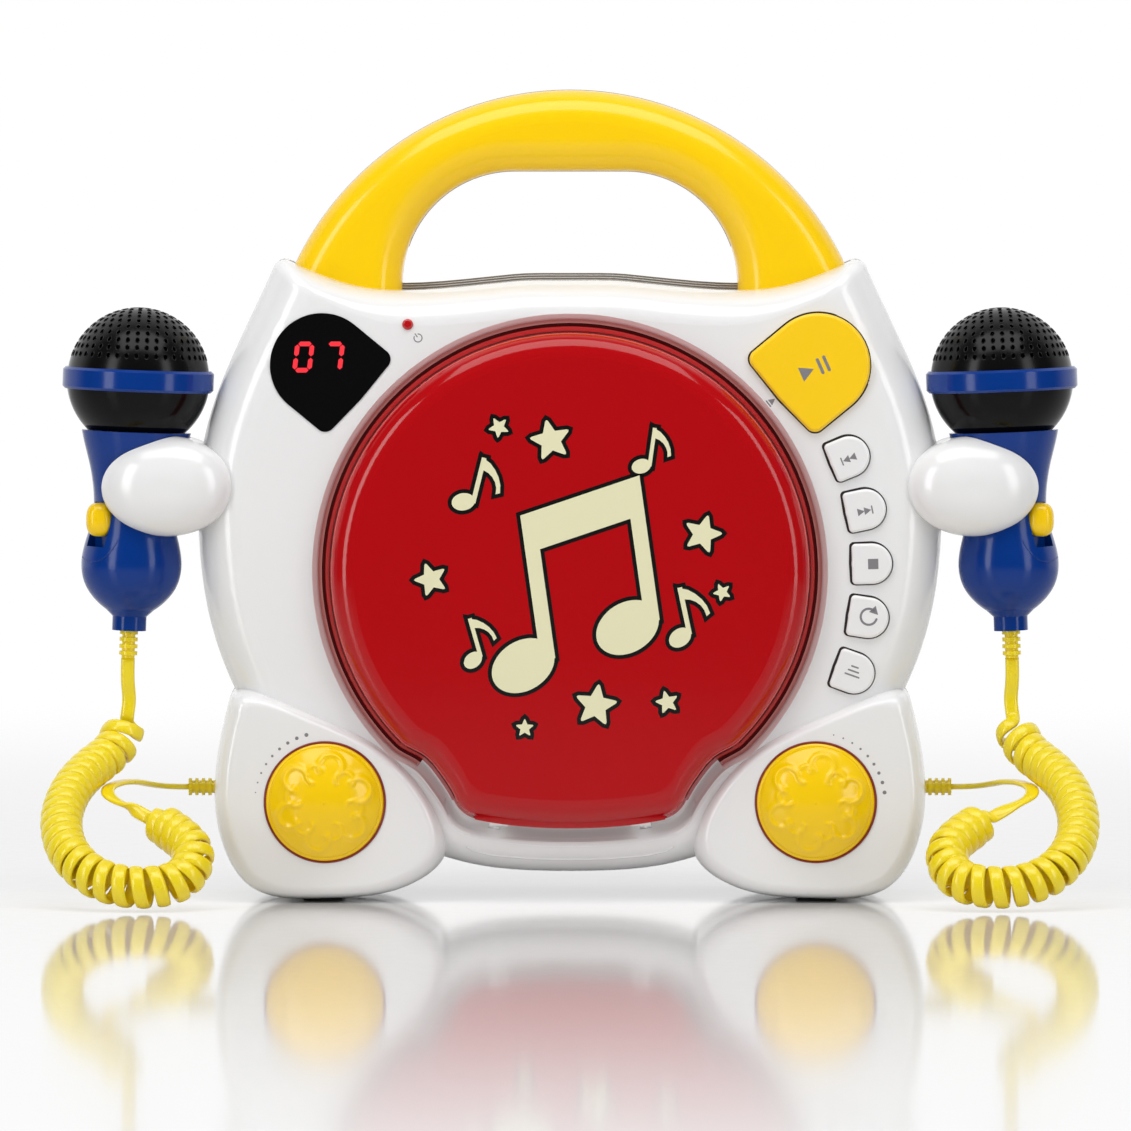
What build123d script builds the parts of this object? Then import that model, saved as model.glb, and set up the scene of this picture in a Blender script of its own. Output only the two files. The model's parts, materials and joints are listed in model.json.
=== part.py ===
"""Karaoke player for children: disc player with a hinged round lid, two wired microphones held in
egg-shaped side holders, a fixed carrying handle and bulging feet.

Millimetres.  +X is the player's right as seen from the front, -Y is the front, +Z is up, and the
origin lies on the floor under the middle of the player.
"""
from build123d import *
import os
from math import cos, radians, sin, sqrt, tan

# ------------------------------------------------------------------ housing
WALL = 2.5                      # moulded wall
FACE_Y = -38.5                  # flat front of the housing
BACK_Y = 50.0                   # flat back of the housing
SPLIT_Y = 0.0                   # plane where the two shells meet
FRONT_ROUND = 16.5              # depth of the rounded front edge
BACK_ROUND = 22.0
FRONT_INSET = 0.12              # how far the flat front is drawn in, as a share of the outline
BACK_INSET = 0.16
BODY_CENTRE = (0.0, 100.0)      # point that the outline is drawn in towards
HALF_WIDTH = 115.6
HORN = (-89.3, 196.3)           # centre of the rounded corner beside the handle
HORN_R = 3.0
HORN_FROM, HORN_TO = 67.0, 156.0
SIDE = [(-103.2, 173.6), (-113.6, 145.0), (-HALF_WIDTH, 113.0), (-112.5, 89.0), (-104.0, 65.0),
        (-80.0, 34.0), (-40.0, 13.6)]
CHIN = (0.0, 8.8)
TOP_EDGE = [(-67.0, 191.3), (-47.7, 189.9), (-15.8, 192.7)]
CREST = (0.0, 192.9)
SECTIONS = 4                    # steps in a rounded edge

# ------------------------------------------------------------------ feet
FOOT_CENTRE = (-76.1, 31.5)     # also the knob's axis
FOOT_FACE_Y = -42.5
FOOT_BACK_Y = 46.0
FOOT_ROUND = 16.0
FOOT_INSET = 0.17
FOOT_OUTLINE = [(-106.0, 63.0), (-110.4, 40.0), (-108.6, 19.0), (-99.8, 4.7), (-76.0, 0.8),
                (-50.0, 4.9), (-38.6, 14.5), (-42.6, 32.0), (-59.0, 49.2), (-83.0, 60.6)]
PAD_R, PAD_H = 6.0, 1.6
PAD_X, PAD_Y = 77.0, 26.0

# ------------------------------------------------------------------ disc lid and its recess
LID_R = 76.0
LID_CENTRE = (0.0, 102.9)
LID_BREAK = 225.0               # where the lid's circle gives way to its lower flank
LID_FLANK = [(-46.6, 44.9), (-40.8, 38.6), (-36.4, 31.4)]
LID_CORNER = [(-33.4, 27.4), (-28.2, 25.2)]
LID_BOTTOM = (0.0, 22.9)
LID_WALL = 2.0
LID_BASE_Y = -37.0
LID_HEIGHT = 13.0
LID_SKIRT = 6.0                 # straight, drafted part of the lid's side
LID_DRAFT = 0.022               # how far the side is drawn in over the skirt, as a share of the outline
LID_INSET = 0.10
RECESS_R = 80.0                 # rim of the recess at the face
RECESS_FLOOR_R = 77.4
RECESS_DEPTH, RECESS_AHEAD = 3.0, 1.5
HINGE_RISE = 4.0                # axis above the lid's lowest edge
HINGE_Y = -41.0
HINGE_X = 22.0
LUG_W, LUG_R = 6.0, 3.0
EAR_W, EAR_R = 2.0, 2.8
PIN_R = 1.2
RUNNING = 0.06                  # radial clearance of a shaft that turns or slides in its bore
CLEAR = 0.4                     # gap round a button or a moving edge
HOOK_ANGLE, HOOK_R = 40.0, 71.6
HOOK_W, HOOK_T, HOOK_END_Y = 6.0, 2.0, -29.0
PLUNGER_L, PLUNGER_GAP, LATCH_TRAVEL = 8.0, 0.3, 3.0

# ------------------------------------------------------------------ disc well and mechanism
DISC_R, DISC_ROOM = 60.0, 2.5
WELL_R = DISC_R + DISC_ROOM
WELL_FLOOR_Y = -25.0
TRAY_WALL = 2.0
TRAY_FLANGE = 6.5
TURNTABLE_R, TURNTABLE_T = 14.5, 2.5
TURNTABLE_GAP = 0.5             # between the turntable's underside and the well floor's front
HUB_R, HUB_H = 7.45, 3.5        # centres a disc with a 15 mm hole
SHAFT_R = 1.0
CHASSIS_Y, CHASSIS_T = -12.0, 1.5
ROD_Y = -17.0
ROD_R = 1.5
ROD_OFFSET = 16.0
SCREW_OFFSET = 24.0
SLED_W, SLED_H, SLED_T = 25.0, 38.0, 8.0
SLED_START, SLED_TRAVEL = 25.0, 32.0
LENS_R = 3.0
END_WALL = 3.0
MOTOR_R, MOTOR_L = 12.0, 12.0
SLED_MOTOR_R, SLED_MOTOR_L = 6.0, 15.0

# ------------------------------------------------------------------ controls
PANEL_CENTRE = (-76.9, 166.9)   # display window; the big button mirrors it
PANEL_R = 16.1
PANEL_CORNERS = [(-58.8, 168.7), (-75.9, 149.4)]
PANEL_CORNER_R = 3.2
PANEL_LID_GAP = 6.5             # from the lid's edge to the window's hollow side
PANEL_FLANGE = 2.0
PLAY_PROUD = 2.2
PLAY_TRAVEL = 1.2
BUTTON_RING = 93.6
BUTTON_ANGLES = [22.4, 11.9, 1.5, -8.8, -19.7]
BUTTON_W, BUTTON_FLAT = 12.6, 6.2
BUTTON_CORNER, BUTTON_FLANGE = 1.3, 1.2
BUTTON_PROUD, BUTTON_TRAVEL = 1.8, 1.0
STEM_R = 1.5
BOARD_T = 1.6
BOARD_POSTS, POST_R = [(74.0, 140.0), (82.6, 59.0)], 2.0
LED_POS, LED_R = (-50.3, 179.5), 1.7
KNOB_R, KNOB_SKIRT, KNOB_TOP_Y = 18.5, 2.6, -50.0
KNOB_RECESS, KNOB_GAP = 2.5, 0.4
POT_R, POT_L, POT_SHAFT_R = 8.0, 8.0, 3.0

# ------------------------------------------------------------------ handle
HANDLE_R = 95.2
HANDLE_CENTRE_Z = 157.0
GRIP_HALF, GRIP_TOP, GRIP_R = 52.4, 226.9, 35.0
HANDLE_HALF_T = 17.0
HANDLE_EDGE = 10.0
HANDLE_FOOT_Z = 176.0

# ------------------------------------------------------------------ microphones
MIC_X, MIC_Y, MIC_LEAN = 134.3, -25.0, 2.2
HEAD_Z, HEAD_R = 162.4, 22.3
BAND_LOW, BAND_HIGH, BAND_R = 158.7, 165.5, 23.5
HEAD_WALL = 1.6
COLLAR_Z = 146.0
MIC_PROFILE = [(17.0, 146.0), (16.6, 144.2), (14.2, 135.5), (12.6, 126.5), (12.6, 119.5), (14.4, 112.0),
               (15.6, 104.8), (14.2, 97.9), (11.2, 93.6), (7.4, 90.4)]
STEM_BOTTOM, MIC_STEM_R = 84.0, 5.3
RELIEF_R, RELIEF_L, RELIEF_RIBS = 2.85, 8.6, 4
SWITCH_W, SWITCH_H, SWITCH_OUT, SWITCH_AZ, SWITCH_Z = 8.6, 10.4, 15.4, 51.0, 118.4
SWITCH_TRAVEL = 3.0
CAPSULE_R, CAPSULE_H = 5.0, 6.0
POD_X, POD_Z = 125.1, 129.3
POD_RX, POD_RZ = 20.6, 15.6
POD_FLAT, POD_HALF_T = 11.0, 21.5       # half depth before the rounding starts, and in all
POD_INSET = 0.9
POD_SLOT_GAP = 0.35

# ------------------------------------------------------------------ cords
CORD_R = 1.5
COIL_R = 6.8
GLAND_Y, GLAND_Z, GLAND_TIP_X, GLAND_R = -6.0, 34.2, 119.4, 2.7
GLAND_RIBS, GLAND_FACE_X, GLAND_ROOT_X = 4, 111.2, 108.0    # ribs stand clear of the foot's side
GLAND_CORE = 0.7                # how much slimmer the gland is between its ribs
EXIT_RUN = 6.5                  # straight run of cord out of a relief, a gland or the coil's end
COIL_ROUTE = [(-137.8, -25.1, 58.0), (-138.6, -26.9, 51.6), (-143.0, -32.0, 45.8), (-149.8, -39.8, 41.2),
              (-155.2, -48.8, 34.8), (-157.4, -58.4, 26.8), (-155.4, -67.6, 18.6), (-148.8, -75.0, 11.6),
              (-139.4, -79.4, 8.0), (-128.8, -80.4, 7.3), (-118.4, -77.4, 9.4), (-114.6, -70.8, 17.4),
              (-121.6, -64.0, 23.6), (-131.0, -58.4, 28.2)]
TAIL_ROUTE = [(-142.6, -50.6, 33.4), (-143.6, -42.0, 35.8), (-140.2, -32.2, 37.0),
              (-135.4, -22.4, 36.8), (-131.4, -13.4, 35.4)]

# ------------------------------------------------------------------ back of the player
BAY_HALF_W, BAY_LOW, BAY_HIGH, BAY_DEPTH = 52.6, 41.0, 121.0, 27.0
DOOR_LAP, DOOR_T, DOOR_GAP = 2.0, 2.2, 0.4
BAY_WALL = 1.8
CONTACT_T, CELL_R = 0.6, 13.1
SPEAKER_Z, SPEAKER_R, SPEAKER_DEPTH = 150.0, 23.0, 20.0
SLOT_W, SLOT_PITCH, SLOT_FIELD_R = 2.2, 4.6, 19.5
JACK_X, JACK_Z, JACK_BORE, JACK_L = 72.0, 62.0, 2.8, 9.0
SCREWS = [(101.0, 152.0), (30.0, 184.6), (95.0, 18.5)]
BOSS_R, SCREW_R, SCREW_L, SCREW_HEAD_R, SCREW_HEAD_H = 3.8, 1.5, 30.0, 2.8, 2.0
MAIN_BOARD_W, MAIN_BOARD_H, MAIN_BOARD_Y = 92.0, 70.0, 12.0
CHIPS = [(-18, 14, 14, 14, 1.8), (16, 20, 9, 12, 1.8), (18, -14, 16, 10, 4.0),
         (-30, -18, 8, 8, 6.0), (36, 4, 6, 16, 5.0)]    # across, up, width, height, thickness


# ------------------------------------------------------------------ helpers
def at_depth(sketch, y):
    """A sketch drawn with X across and Z up, stood upright at depth y."""
    return Plane.XZ.offset(-y) * sketch


def prism(sketch, y_front, y_back):
    """The sketch carried straight from y_front back to y_back."""
    return extrude(at_depth(sketch, y_back), amount=y_back - y_front)


def disc(x, z, r, y_front, y_back):
    return prism(Pos(x, z) * Circle(r), y_front, y_back)


def rod_x(r, x_from, x_to, y, z):
    """A round rod along X."""
    return Pos((x_from + x_to) / 2, y, z) * Rot(0, 90, 0) * Cylinder(r, abs(x_to - x_from))


def block(x_from, x_to, y_from, y_to, z_from, z_to):
    centre = ((x_from + x_to) / 2, (y_from + y_to) / 2, (z_from + z_to) / 2)
    return Pos(*centre) * Box(x_to - x_from, y_to - y_from, z_to - z_from)


def spun(points, x=0.0, z=0.0):
    """A turned piece: (radius, y) points spun about the Y line through x, z."""
    return Pos(x, 0, z) * revolve(make_face(Polyline(*points, close=True)), axis=Axis.Y)


def drawn_in(sketch, factor, centre):
    """The sketch scaled towards a centre."""
    return scale(sketch, by=factor, about=(*centre, 0))


def edge_profile(y_edge, y_crown, inset, power=2.0):
    """(depth, factor) steps of a rounded edge, from the full outline to the flat crown."""
    steps = []
    for step in range(SECTIONS + 1):
        angle = radians(90 * step / SECTIONS)
        rise = sin(angle) ** (2 / power)
        fall = 1 - max(cos(angle), 0.0) ** (2 / power)
        steps.append((y_edge + (y_crown - y_edge) * rise, 1 - inset * fall))
    return steps


def pillow(outline, centre, profile):
    """The outline lofted through (depth, factor) steps."""
    return loft([at_depth(drawn_in(outline, factor, centre), y) for y, factor in profile])


def mirrored(shape):
    return mirror(shape, about=Plane.YZ)


def both(shape):
    """The shape and its mirror image, as one group."""
    return shape + mirrored(shape)


# ------------------------------------------------------------------ outlines
def body_outline():
    side_start = (HORN[0] + HORN_R * cos(radians(HORN_TO)), HORN[1] + HORN_R * sin(radians(HORN_TO)))
    top_start = (HORN[0] + HORN_R * cos(radians(HORN_FROM)), HORN[1] + HORN_R * sin(radians(HORN_FROM)))
    down = (cos(radians(HORN_TO + 90)), sin(radians(HORN_TO + 90)))
    across = (cos(radians(HORN_FROM - 90)), sin(radians(HORN_FROM - 90)))
    horn = CenterArc(HORN, HORN_R, HORN_FROM, HORN_TO - HORN_FROM)
    side = Spline(side_start, *SIDE, CHIN, tangents=[down, (1, 0)])
    top = Spline(top_start, *TOP_EDGE, CREST, tangents=[across, (1, 0)])
    half = [horn, side, top]
    return make_face(half + [mirror(edge, about=Plane.YZ) for edge in half])


def foot_outline():
    return make_face(Spline(*FOOT_OUTLINE, periodic=True))


def lid_outline():
    """A circle with concave flanks running down to a short, round-cornered bottom edge."""
    x = LID_R * cos(radians(LID_BREAK))
    z = LID_CENTRE[1] + LID_R * sin(radians(LID_BREAK))
    leaving = (-sin(radians(LID_BREAK)), cos(radians(LID_BREAK)))
    circle = CenterArc(LID_CENTRE, LID_R, 180 - LID_BREAK, 2 * LID_BREAK - 180)
    flank = Spline((x, z), *LID_FLANK, tangents=[leaving, (0.42, -0.91)])
    corner = ThreePointArc(LID_FLANK[-1], *LID_CORNER)
    end = LID_CORNER[-1]
    bottom = ThreePointArc(end, LID_BOTTOM, (-end[0], end[1]))
    sides = [flank, corner]
    return make_face([circle, bottom] + sides + [mirror(edge, about=Plane.YZ) for edge in sides])


def panel_outline(grow=0.0):
    """The leaf-shaped window: a circle drawn out to two corners, hollowed beside the lid."""
    rounds = Pos(*PANEL_CENTRE) * Circle(PANEL_R + grow)
    corners = [Pos(*corner) * Circle(PANEL_CORNER_R + grow) for corner in PANEL_CORNERS]
    leaf = make_hull(rounds.edges() + corners[0].edges() + corners[1].edges())
    return leaf - Pos(*LID_CENTRE) * Circle(LID_R + PANEL_LID_GAP - grow)


def button_outline(grow=0.0):
    """A D lying towards the lid: flat and small-cornered inside, half round outside."""
    radius = BUTTON_W / 2
    flat = Pos(-BUTTON_FLAT / 2, 0) * Rectangle(BUTTON_FLAT, BUTTON_W)
    flat = fillet(flat.vertices().group_by(Axis.X)[0], BUTTON_CORNER)
    shape = flat + Circle(radius)
    return offset(shape, grow) if grow else shape


def button_place(angle):
    """Where a small button sits on its ring, turned to face the lid's centre."""
    x = BUTTON_RING * cos(radians(angle))
    z = LID_CENTRE[1] + BUTTON_RING * sin(radians(angle))
    return Pos(x, z) * Rot(0, 0, angle)


BODY = body_outline()
FOOT = foot_outline()
LID = lid_outline()
PANEL = panel_outline()
THIN = WALL / HALF_WIDTH        # wall as a share of the housing's outline
FOOT_THIN = WALL / 34.0
FRONT_EDGE_Y = FACE_Y + FRONT_ROUND
BACK_EDGE_Y = BACK_Y - BACK_ROUND
RECESS_FLOOR_Y = FACE_Y + RECESS_DEPTH
TRAY_Y = RECESS_FLOOR_Y + WALL  # back of the recess floor, where the tray is screwed on
KNOB_SEAT_Y = FOOT_FACE_Y + KNOB_RECESS
SEAT_Y = FACE_Y + WALL + CLEAR  # what is pushed in from inside has its flange here
FLANGE_Y = SEAT_Y + 1.2         # back of a button's flange
OPENING_R = WELL_R + TRAY_WALL + 1.0


# ------------------------------------------------------------------ housing shells
def shell_block(outline, centre, thin, edge_y, crown_y, inset, power, wall):
    """One bulge of a shell, solid: straight from the split plane to edge_y, then rounded to crown_y."""
    toward = 1 if crown_y > SPLIT_Y else -1
    plan = drawn_in(outline, 1 - thin, centre)
    crown = pillow(plan, centre, edge_profile(edge_y, crown_y - toward * wall, inset, power))
    straight = prism(plan, min(SPLIT_Y, edge_y), max(SPLIT_Y, edge_y))
    return crown + straight


def front_mass(wall=0.0):
    share = wall / WALL
    body = shell_block(BODY, BODY_CENTRE, THIN * share, FRONT_EDGE_Y, FACE_Y, FRONT_INSET, 2.0, wall)
    foot = shell_block(FOOT, FOOT_CENTRE, FOOT_THIN * share, FOOT_FACE_Y + FOOT_ROUND, FOOT_FACE_Y,
                       FOOT_INSET, 2.6, wall)
    return body + foot + mirrored(foot)


def back_mass(wall=0.0):
    share = wall / WALL
    body = shell_block(BODY, BODY_CENTRE, THIN * share, BACK_EDGE_Y, BACK_Y, BACK_INSET, 2.0, wall)
    foot = shell_block(FOOT, FOOT_CENTRE, FOOT_THIN * share, FOOT_BACK_Y - FOOT_ROUND, FOOT_BACK_Y,
                       FOOT_INSET, 2.6, wall)
    return body + foot + mirrored(foot)


FRONT_MASS = front_mass()
BACK_MASS = back_mass()
FRONT_ROOM = front_mass(WALL)
BACK_ROOM = back_mass(WALL)


def recess_solid(grow=0.0, deeper=0.0):
    """The shallow recess that the lid lies in.  Its sloping rim runs on past the face, so that it
    also cuts where the face has started to round off."""
    rim_r = RECESS_R + RECESS_AHEAD * (RECESS_R - RECESS_FLOOR_R) / RECESS_DEPTH
    rim = drawn_in(LID, (rim_r + grow) / LID_R, LID_CENTRE)
    floor = drawn_in(LID, (RECESS_FLOOR_R + grow) / LID_R, LID_CENTRE)
    return loft([at_depth(rim, FACE_Y - RECESS_AHEAD), at_depth(floor, RECESS_FLOOR_Y + deeper)], ruled=True)


def boss(x, z, y_front, y_back):
    return disc(x, z, BOSS_R, y_front, y_back)


def screw_places():
    return [(side * x, z) for x, z in SCREWS for side in (-1, 1)]


def front_shell():
    shell = FRONT_MASS - FRONT_ROOM
    shell += recess_solid(WALL, WALL) & FRONT_MASS
    for side in (-1, 1):
        backing = disc(side * FOOT_CENTRE[0], FOOT_CENTRE[1], KNOB_R + KNOB_GAP + WALL,
                       FOOT_FACE_Y, KNOB_SEAT_Y + WALL)
        shell += backing & FRONT_MASS
    for x, z in screw_places():
        shell += boss(x, z, FACE_Y, SPLIT_Y) & FRONT_MASS
    for x, z in BOARD_POSTS:
        shell += disc(x, z, POST_R, FACE_Y + WALL / 2, board_y())
    shell -= recess_solid()
    shell -= disc(*LID_CENTRE, OPENING_R, FACE_Y - 1, TRAY_Y + 1)
    for side in (-1, 1):
        shell += hinge_lug(side)
        x, z = side * FOOT_CENTRE[0], FOOT_CENTRE[1]
        shell -= disc(x, z, KNOB_R + KNOB_GAP, FOOT_FACE_Y - 8, KNOB_SEAT_Y)
        shell -= disc(x, z, POT_SHAFT_R + 1.1, FOOT_FACE_Y, KNOB_SEAT_Y + WALL + 1)
        shell -= rod_x(GLAND_R - GLAND_CORE, side * 95, side * 115, GLAND_Y, GLAND_Z)
    shell -= prism(PANEL, FACE_Y - 1, FACE_Y + 2 * WALL)
    shell -= mirrored(prism(panel_outline(CLEAR), FACE_Y - 1, FACE_Y + 2 * WALL))
    shell -= both(prism(panel_outline(PANEL_FLANGE + CLEAR), SEAT_Y, FACE_Y + 4 * WALL))
    for angle in BUTTON_ANGLES:
        shell -= prism(button_place(angle) * button_outline(CLEAR), FACE_Y - 1, FACE_Y + 2 * WALL)
        seat = button_place(angle) * button_outline(BUTTON_FLANGE + CLEAR)
        shell -= prism(seat, SEAT_Y, FACE_Y + 4 * WALL)
    shell -= disc(*LED_POS, LED_R, FACE_Y - 1, FACE_Y + 2 * WALL)
    shell -= disc(*LED_POS, LED_R + 1.0, SEAT_Y, FACE_Y + 3 * WALL)
    for x, z in screw_places():
        shell -= disc(x, z, SCREW_R, SPLIT_Y - 10, SPLIT_Y)
    shell -= hook_slot()
    for pad in pads():
        shell -= pad
    return shell


def hinge_lug(side):
    """A round-nosed lug on the recess floor that carries one of the lid's pins."""
    z = LID_BOTTOM[1] + HINGE_RISE
    x = side * HINGE_X
    nose = rod_x(LUG_R, x - LUG_W / 2, x + LUG_W / 2, HINGE_Y, z)
    stalk = block(x - LUG_W / 2, x + LUG_W / 2, HINGE_Y, RECESS_FLOOR_Y, z - LUG_R, z + LUG_R)
    bore = rod_x(PIN_R + RUNNING, x - LUG_W, x + LUG_W, HINGE_Y, z)
    return nose + stalk - bore


def hook_place():
    angle = radians(HOOK_ANGLE)
    return Pos(HOOK_R * cos(angle), LID_CENTRE[1] + HOOK_R * sin(angle)) * Rot(0, 0, HOOK_ANGLE)


def hook_slot():
    return prism(hook_place() * Rectangle(HOOK_T + 3.2, HOOK_W + 2.4), FACE_Y, TRAY_Y + 1)


def pads():
    return [Pos(x, y, PAD_H / 2) * Cylinder(PAD_R, PAD_H) for x in (-PAD_X, PAD_X) for y in (-PAD_Y, PAD_Y)]


def battery_bay(grow=0.0):
    """The box that the cells lie in, open to the back."""
    return block(-BAY_HALF_W - grow, BAY_HALF_W + grow, BACK_Y - BAY_DEPTH - grow, BACK_Y,
                 BAY_LOW - grow, BAY_HIGH + grow)


def door_block(y_front, gap=0.0):
    lap = DOOR_LAP + gap
    return block(-BAY_HALF_W - lap, BAY_HALF_W + lap, y_front, BACK_Y, BAY_LOW - lap, BAY_HIGH + lap)


def speaker_slots():
    rows = int(SLOT_FIELD_R / SLOT_PITCH)
    cuts = []
    for row in range(-rows, rows + 1):
        rise = row * SLOT_PITCH
        half = sqrt(SLOT_FIELD_R ** 2 - rise ** 2)
        slot = Pos(0, SPEAKER_Z + rise) * SlotOverall(2 * half, SLOT_W)
        cuts.append(prism(slot, BACK_Y - 2 * WALL, BACK_Y + 1))
    return cuts


def rear_shell():
    shell = BACK_MASS - BACK_ROOM
    shell += (battery_bay(BAY_WALL) + door_block(BACK_Y - DOOR_T - BAY_WALL, DOOR_GAP + BAY_WALL)) & BACK_MASS
    for x, z in screw_places():
        shell += boss(x, z, SPLIT_Y, BACK_Y) & BACK_MASS
    for x in (-MAIN_BOARD_W / 2 + 5, MAIN_BOARD_W / 2 - 5):
        for z in (LID_CENTRE[1] - 30, LID_CENTRE[1] + 17):
            shell += disc(x, z, 3.0, MAIN_BOARD_Y + BOARD_T, BACK_Y - BAY_DEPTH - BAY_WALL)
    shell -= battery_bay()
    shell -= door_block(BACK_Y - DOOR_T, DOOR_GAP)
    for slot in speaker_slots():
        shell -= slot
    for x, z in screw_places():
        shell -= disc(x, z, SCREW_R + 0.1, SPLIT_Y, BACK_Y)
        shell -= disc(x, z, SCREW_HEAD_R + 0.4, screw_head_y(), BACK_Y + 1)
    shell -= disc(JACK_X, JACK_Z, 5.0, BACK_Y - JACK_L - 2, BACK_Y + 1)
    for pad in pads():
        shell -= pad
    return shell


def screw_head_y():
    return SPLIT_Y + SCREW_L - 10.0


def housing_screws():
    screws = []
    for x, z in screw_places():
        head_y = screw_head_y()
        shank = disc(x, z, SCREW_R, SPLIT_Y - 9.0, head_y)
        head = disc(x, z, SCREW_HEAD_R, head_y, head_y + SCREW_HEAD_H)
        screws.append(shank + head)
    return Compound(children=screws)


# ------------------------------------------------------------------ handle
def handle_half(side):
    """Half of the arch, on the front (-1) or the back (+1) of the split plane."""
    arch = Pos(0, HANDLE_CENTRE_Z) * Circle(HANDLE_R)
    low = GRIP_TOP - 200
    grip = Pos(0, (GRIP_TOP + low) / 2) * RectangleRounded(2 * GRIP_HALF, GRIP_TOP - low, GRIP_R)
    arch -= grip
    arch -= Pos(0, HANDLE_FOOT_Z - 100) * Rectangle(400, 200)
    y_front, y_back = sorted((0.0, side * HANDLE_HALF_T))
    half = prism(arch, y_front, y_back)
    outer = side * HANDLE_HALF_T
    rims = [e for e in half.edges() if abs(e.center().Y - outer) < 0.01 and e.center().Z > HANDLE_FOOT_Z + 1]
    half = fillet(rims, HANDLE_EDGE)
    return half - (FRONT_MASS if side < 0 else BACK_MASS)


# ------------------------------------------------------------------ disc lid
def lid_form(thin, shift):
    """The lid's outside, or its inside when drawn in and set back: a drafted skirt and a rounded edge."""
    plan = drawn_in(LID, 1 - thin, LID_CENTRE)
    shoulder = drawn_in(plan, 1 - LID_DRAFT, LID_CENTRE)
    base_y, shoulder_y = LID_BASE_Y + shift, LID_BASE_Y - LID_SKIRT + shift
    skirt = loft([at_depth(plan, base_y), at_depth(shoulder, shoulder_y)], ruled=True)
    crown_y = LID_BASE_Y - LID_HEIGHT + shift
    return skirt + pillow(shoulder, LID_CENTRE, edge_profile(shoulder_y, crown_y, LID_INSET))


def disc_lid():
    outside = lid_form(0.0, 0.0)
    inside = lid_form(LID_WALL / LID_R, LID_WALL)
    lid = outside - inside
    z = LID_BOTTOM[1] + HINGE_RISE
    skirt_relief = block(-45, 45, LID_BASE_Y - 2.5, LID_BASE_Y + 3, 15, z + 5)
    lid -= skirt_relief
    crown_y = LID_BASE_Y - LID_HEIGHT
    for side in (-1, 1):
        x = side * HINGE_X
        lid -= block(x - LUG_W / 2 - 0.6, x + LUG_W / 2 + 0.6, HINGE_Y - LUG_R - 0.8, LID_BASE_Y + 1,
                     z - 8, z + LUG_R + 0.8)
        for ear in (-1, 1):
            ear_x = x + ear * (LUG_W / 2 + EAR_W / 2 + 0.3)
            plate = block(ear_x - EAR_W / 2, ear_x + EAR_W / 2, crown_y + 1, HINGE_Y, z - EAR_R, z + EAR_R)
            plate += rod_x(EAR_R, ear_x - EAR_W / 2, ear_x + EAR_W / 2, HINGE_Y, z)
            lid += plate & outside
        lid -= rod_x(PIN_R, x - 8, x + 8, HINGE_Y, z)
    hook = prism(hook_place() * Rectangle(HOOK_T, HOOK_W), crown_y + 3, HOOK_END_Y)
    barb = prism(hook_place() * Pos(-HOOK_T / 2, 0) * Rectangle(HOOK_T, HOOK_W), HOOK_END_Y - 2, HOOK_END_Y)
    return lid + (hook - inside_out(outside)) + barb


def inside_out(outside):
    """Everything in front of the lid's own outside, so that the hook stops within it."""
    front = block(-120, 120, -80, LID_BASE_Y, 0, 220)
    return front - outside


def lid_hinge_pins():
    z = LID_BOTTOM[1] + HINGE_RISE
    reach = LUG_W / 2 + EAR_W + 0.3
    return Compound(children=[rod_x(PIN_R, s * HINGE_X - reach, s * HINGE_X + reach, HINGE_Y, z)
                              for s in (-1, 1)])


def plunger_y():
    """Front of the latch's plunger, just behind the end of the lid's hook."""
    return HOOK_END_Y + PLUNGER_GAP


def latch_slider():
    """Plunger behind the lid's hook that gives when the lid is pressed."""
    return prism(hook_place() * Rectangle(HOOK_T + 2, HOOK_W), plunger_y(), plunger_y() + PLUNGER_L)


def latch_housing():
    """Guide behind the recess floor that the plunger slides in."""
    end_y = plunger_y() + PLUNGER_L + LATCH_TRAVEL + CLEAR
    outer = prism(hook_place() * Pos(0.6, 0) * Rectangle(HOOK_T + 6, HOOK_W + 4), TRAY_Y, end_y + 2.0)
    bore = prism(hook_place() * Rectangle(HOOK_T + 3.2, HOOK_W + 0.6), TRAY_Y, end_y)
    return outer - bore


# ------------------------------------------------------------------ disc well and mechanism
def sled_window():
    x_from = TURNTABLE_R + 2
    return block(x_from - 6, SLED_START + SLED_TRAVEL + LENS_R + 1, WELL_FLOOR_Y - 1, WELL_FLOOR_Y + 4,
                 LID_CENTRE[1] - 5.5, LID_CENTRE[1] + 5.5)


POSTS = [(x, side * 33.0) for x in (-34.0, 48.0) for side in (-1, 1)]


def disc_tray():
    outer_r = WELL_R + TRAY_WALL
    flange_r = outer_r + TRAY_FLANGE
    back_y = WELL_FLOOR_Y + TRAY_WALL
    front_y = TRAY_Y
    section = [(TURNTABLE_R + 2, WELL_FLOOR_Y), (WELL_R - 2, WELL_FLOOR_Y), (WELL_R, WELL_FLOOR_Y - 2),
               (WELL_R, front_y), (flange_r, front_y), (flange_r, front_y + TRAY_WALL),
               (outer_r, front_y + TRAY_WALL), (outer_r, back_y), (TURNTABLE_R + 2, back_y)]
    tray = spun(section, *LID_CENTRE)
    tray -= sled_window()
    tray -= prism(hook_place() * Rectangle(HOOK_T + 8, HOOK_W + 5), TRAY_Y - 1, TRAY_Y + 5)
    for x, rise in POSTS:
        tray += disc(x, LID_CENTRE[1] + rise, 3.0, back_y, CHASSIS_Y)
    return tray


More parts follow.
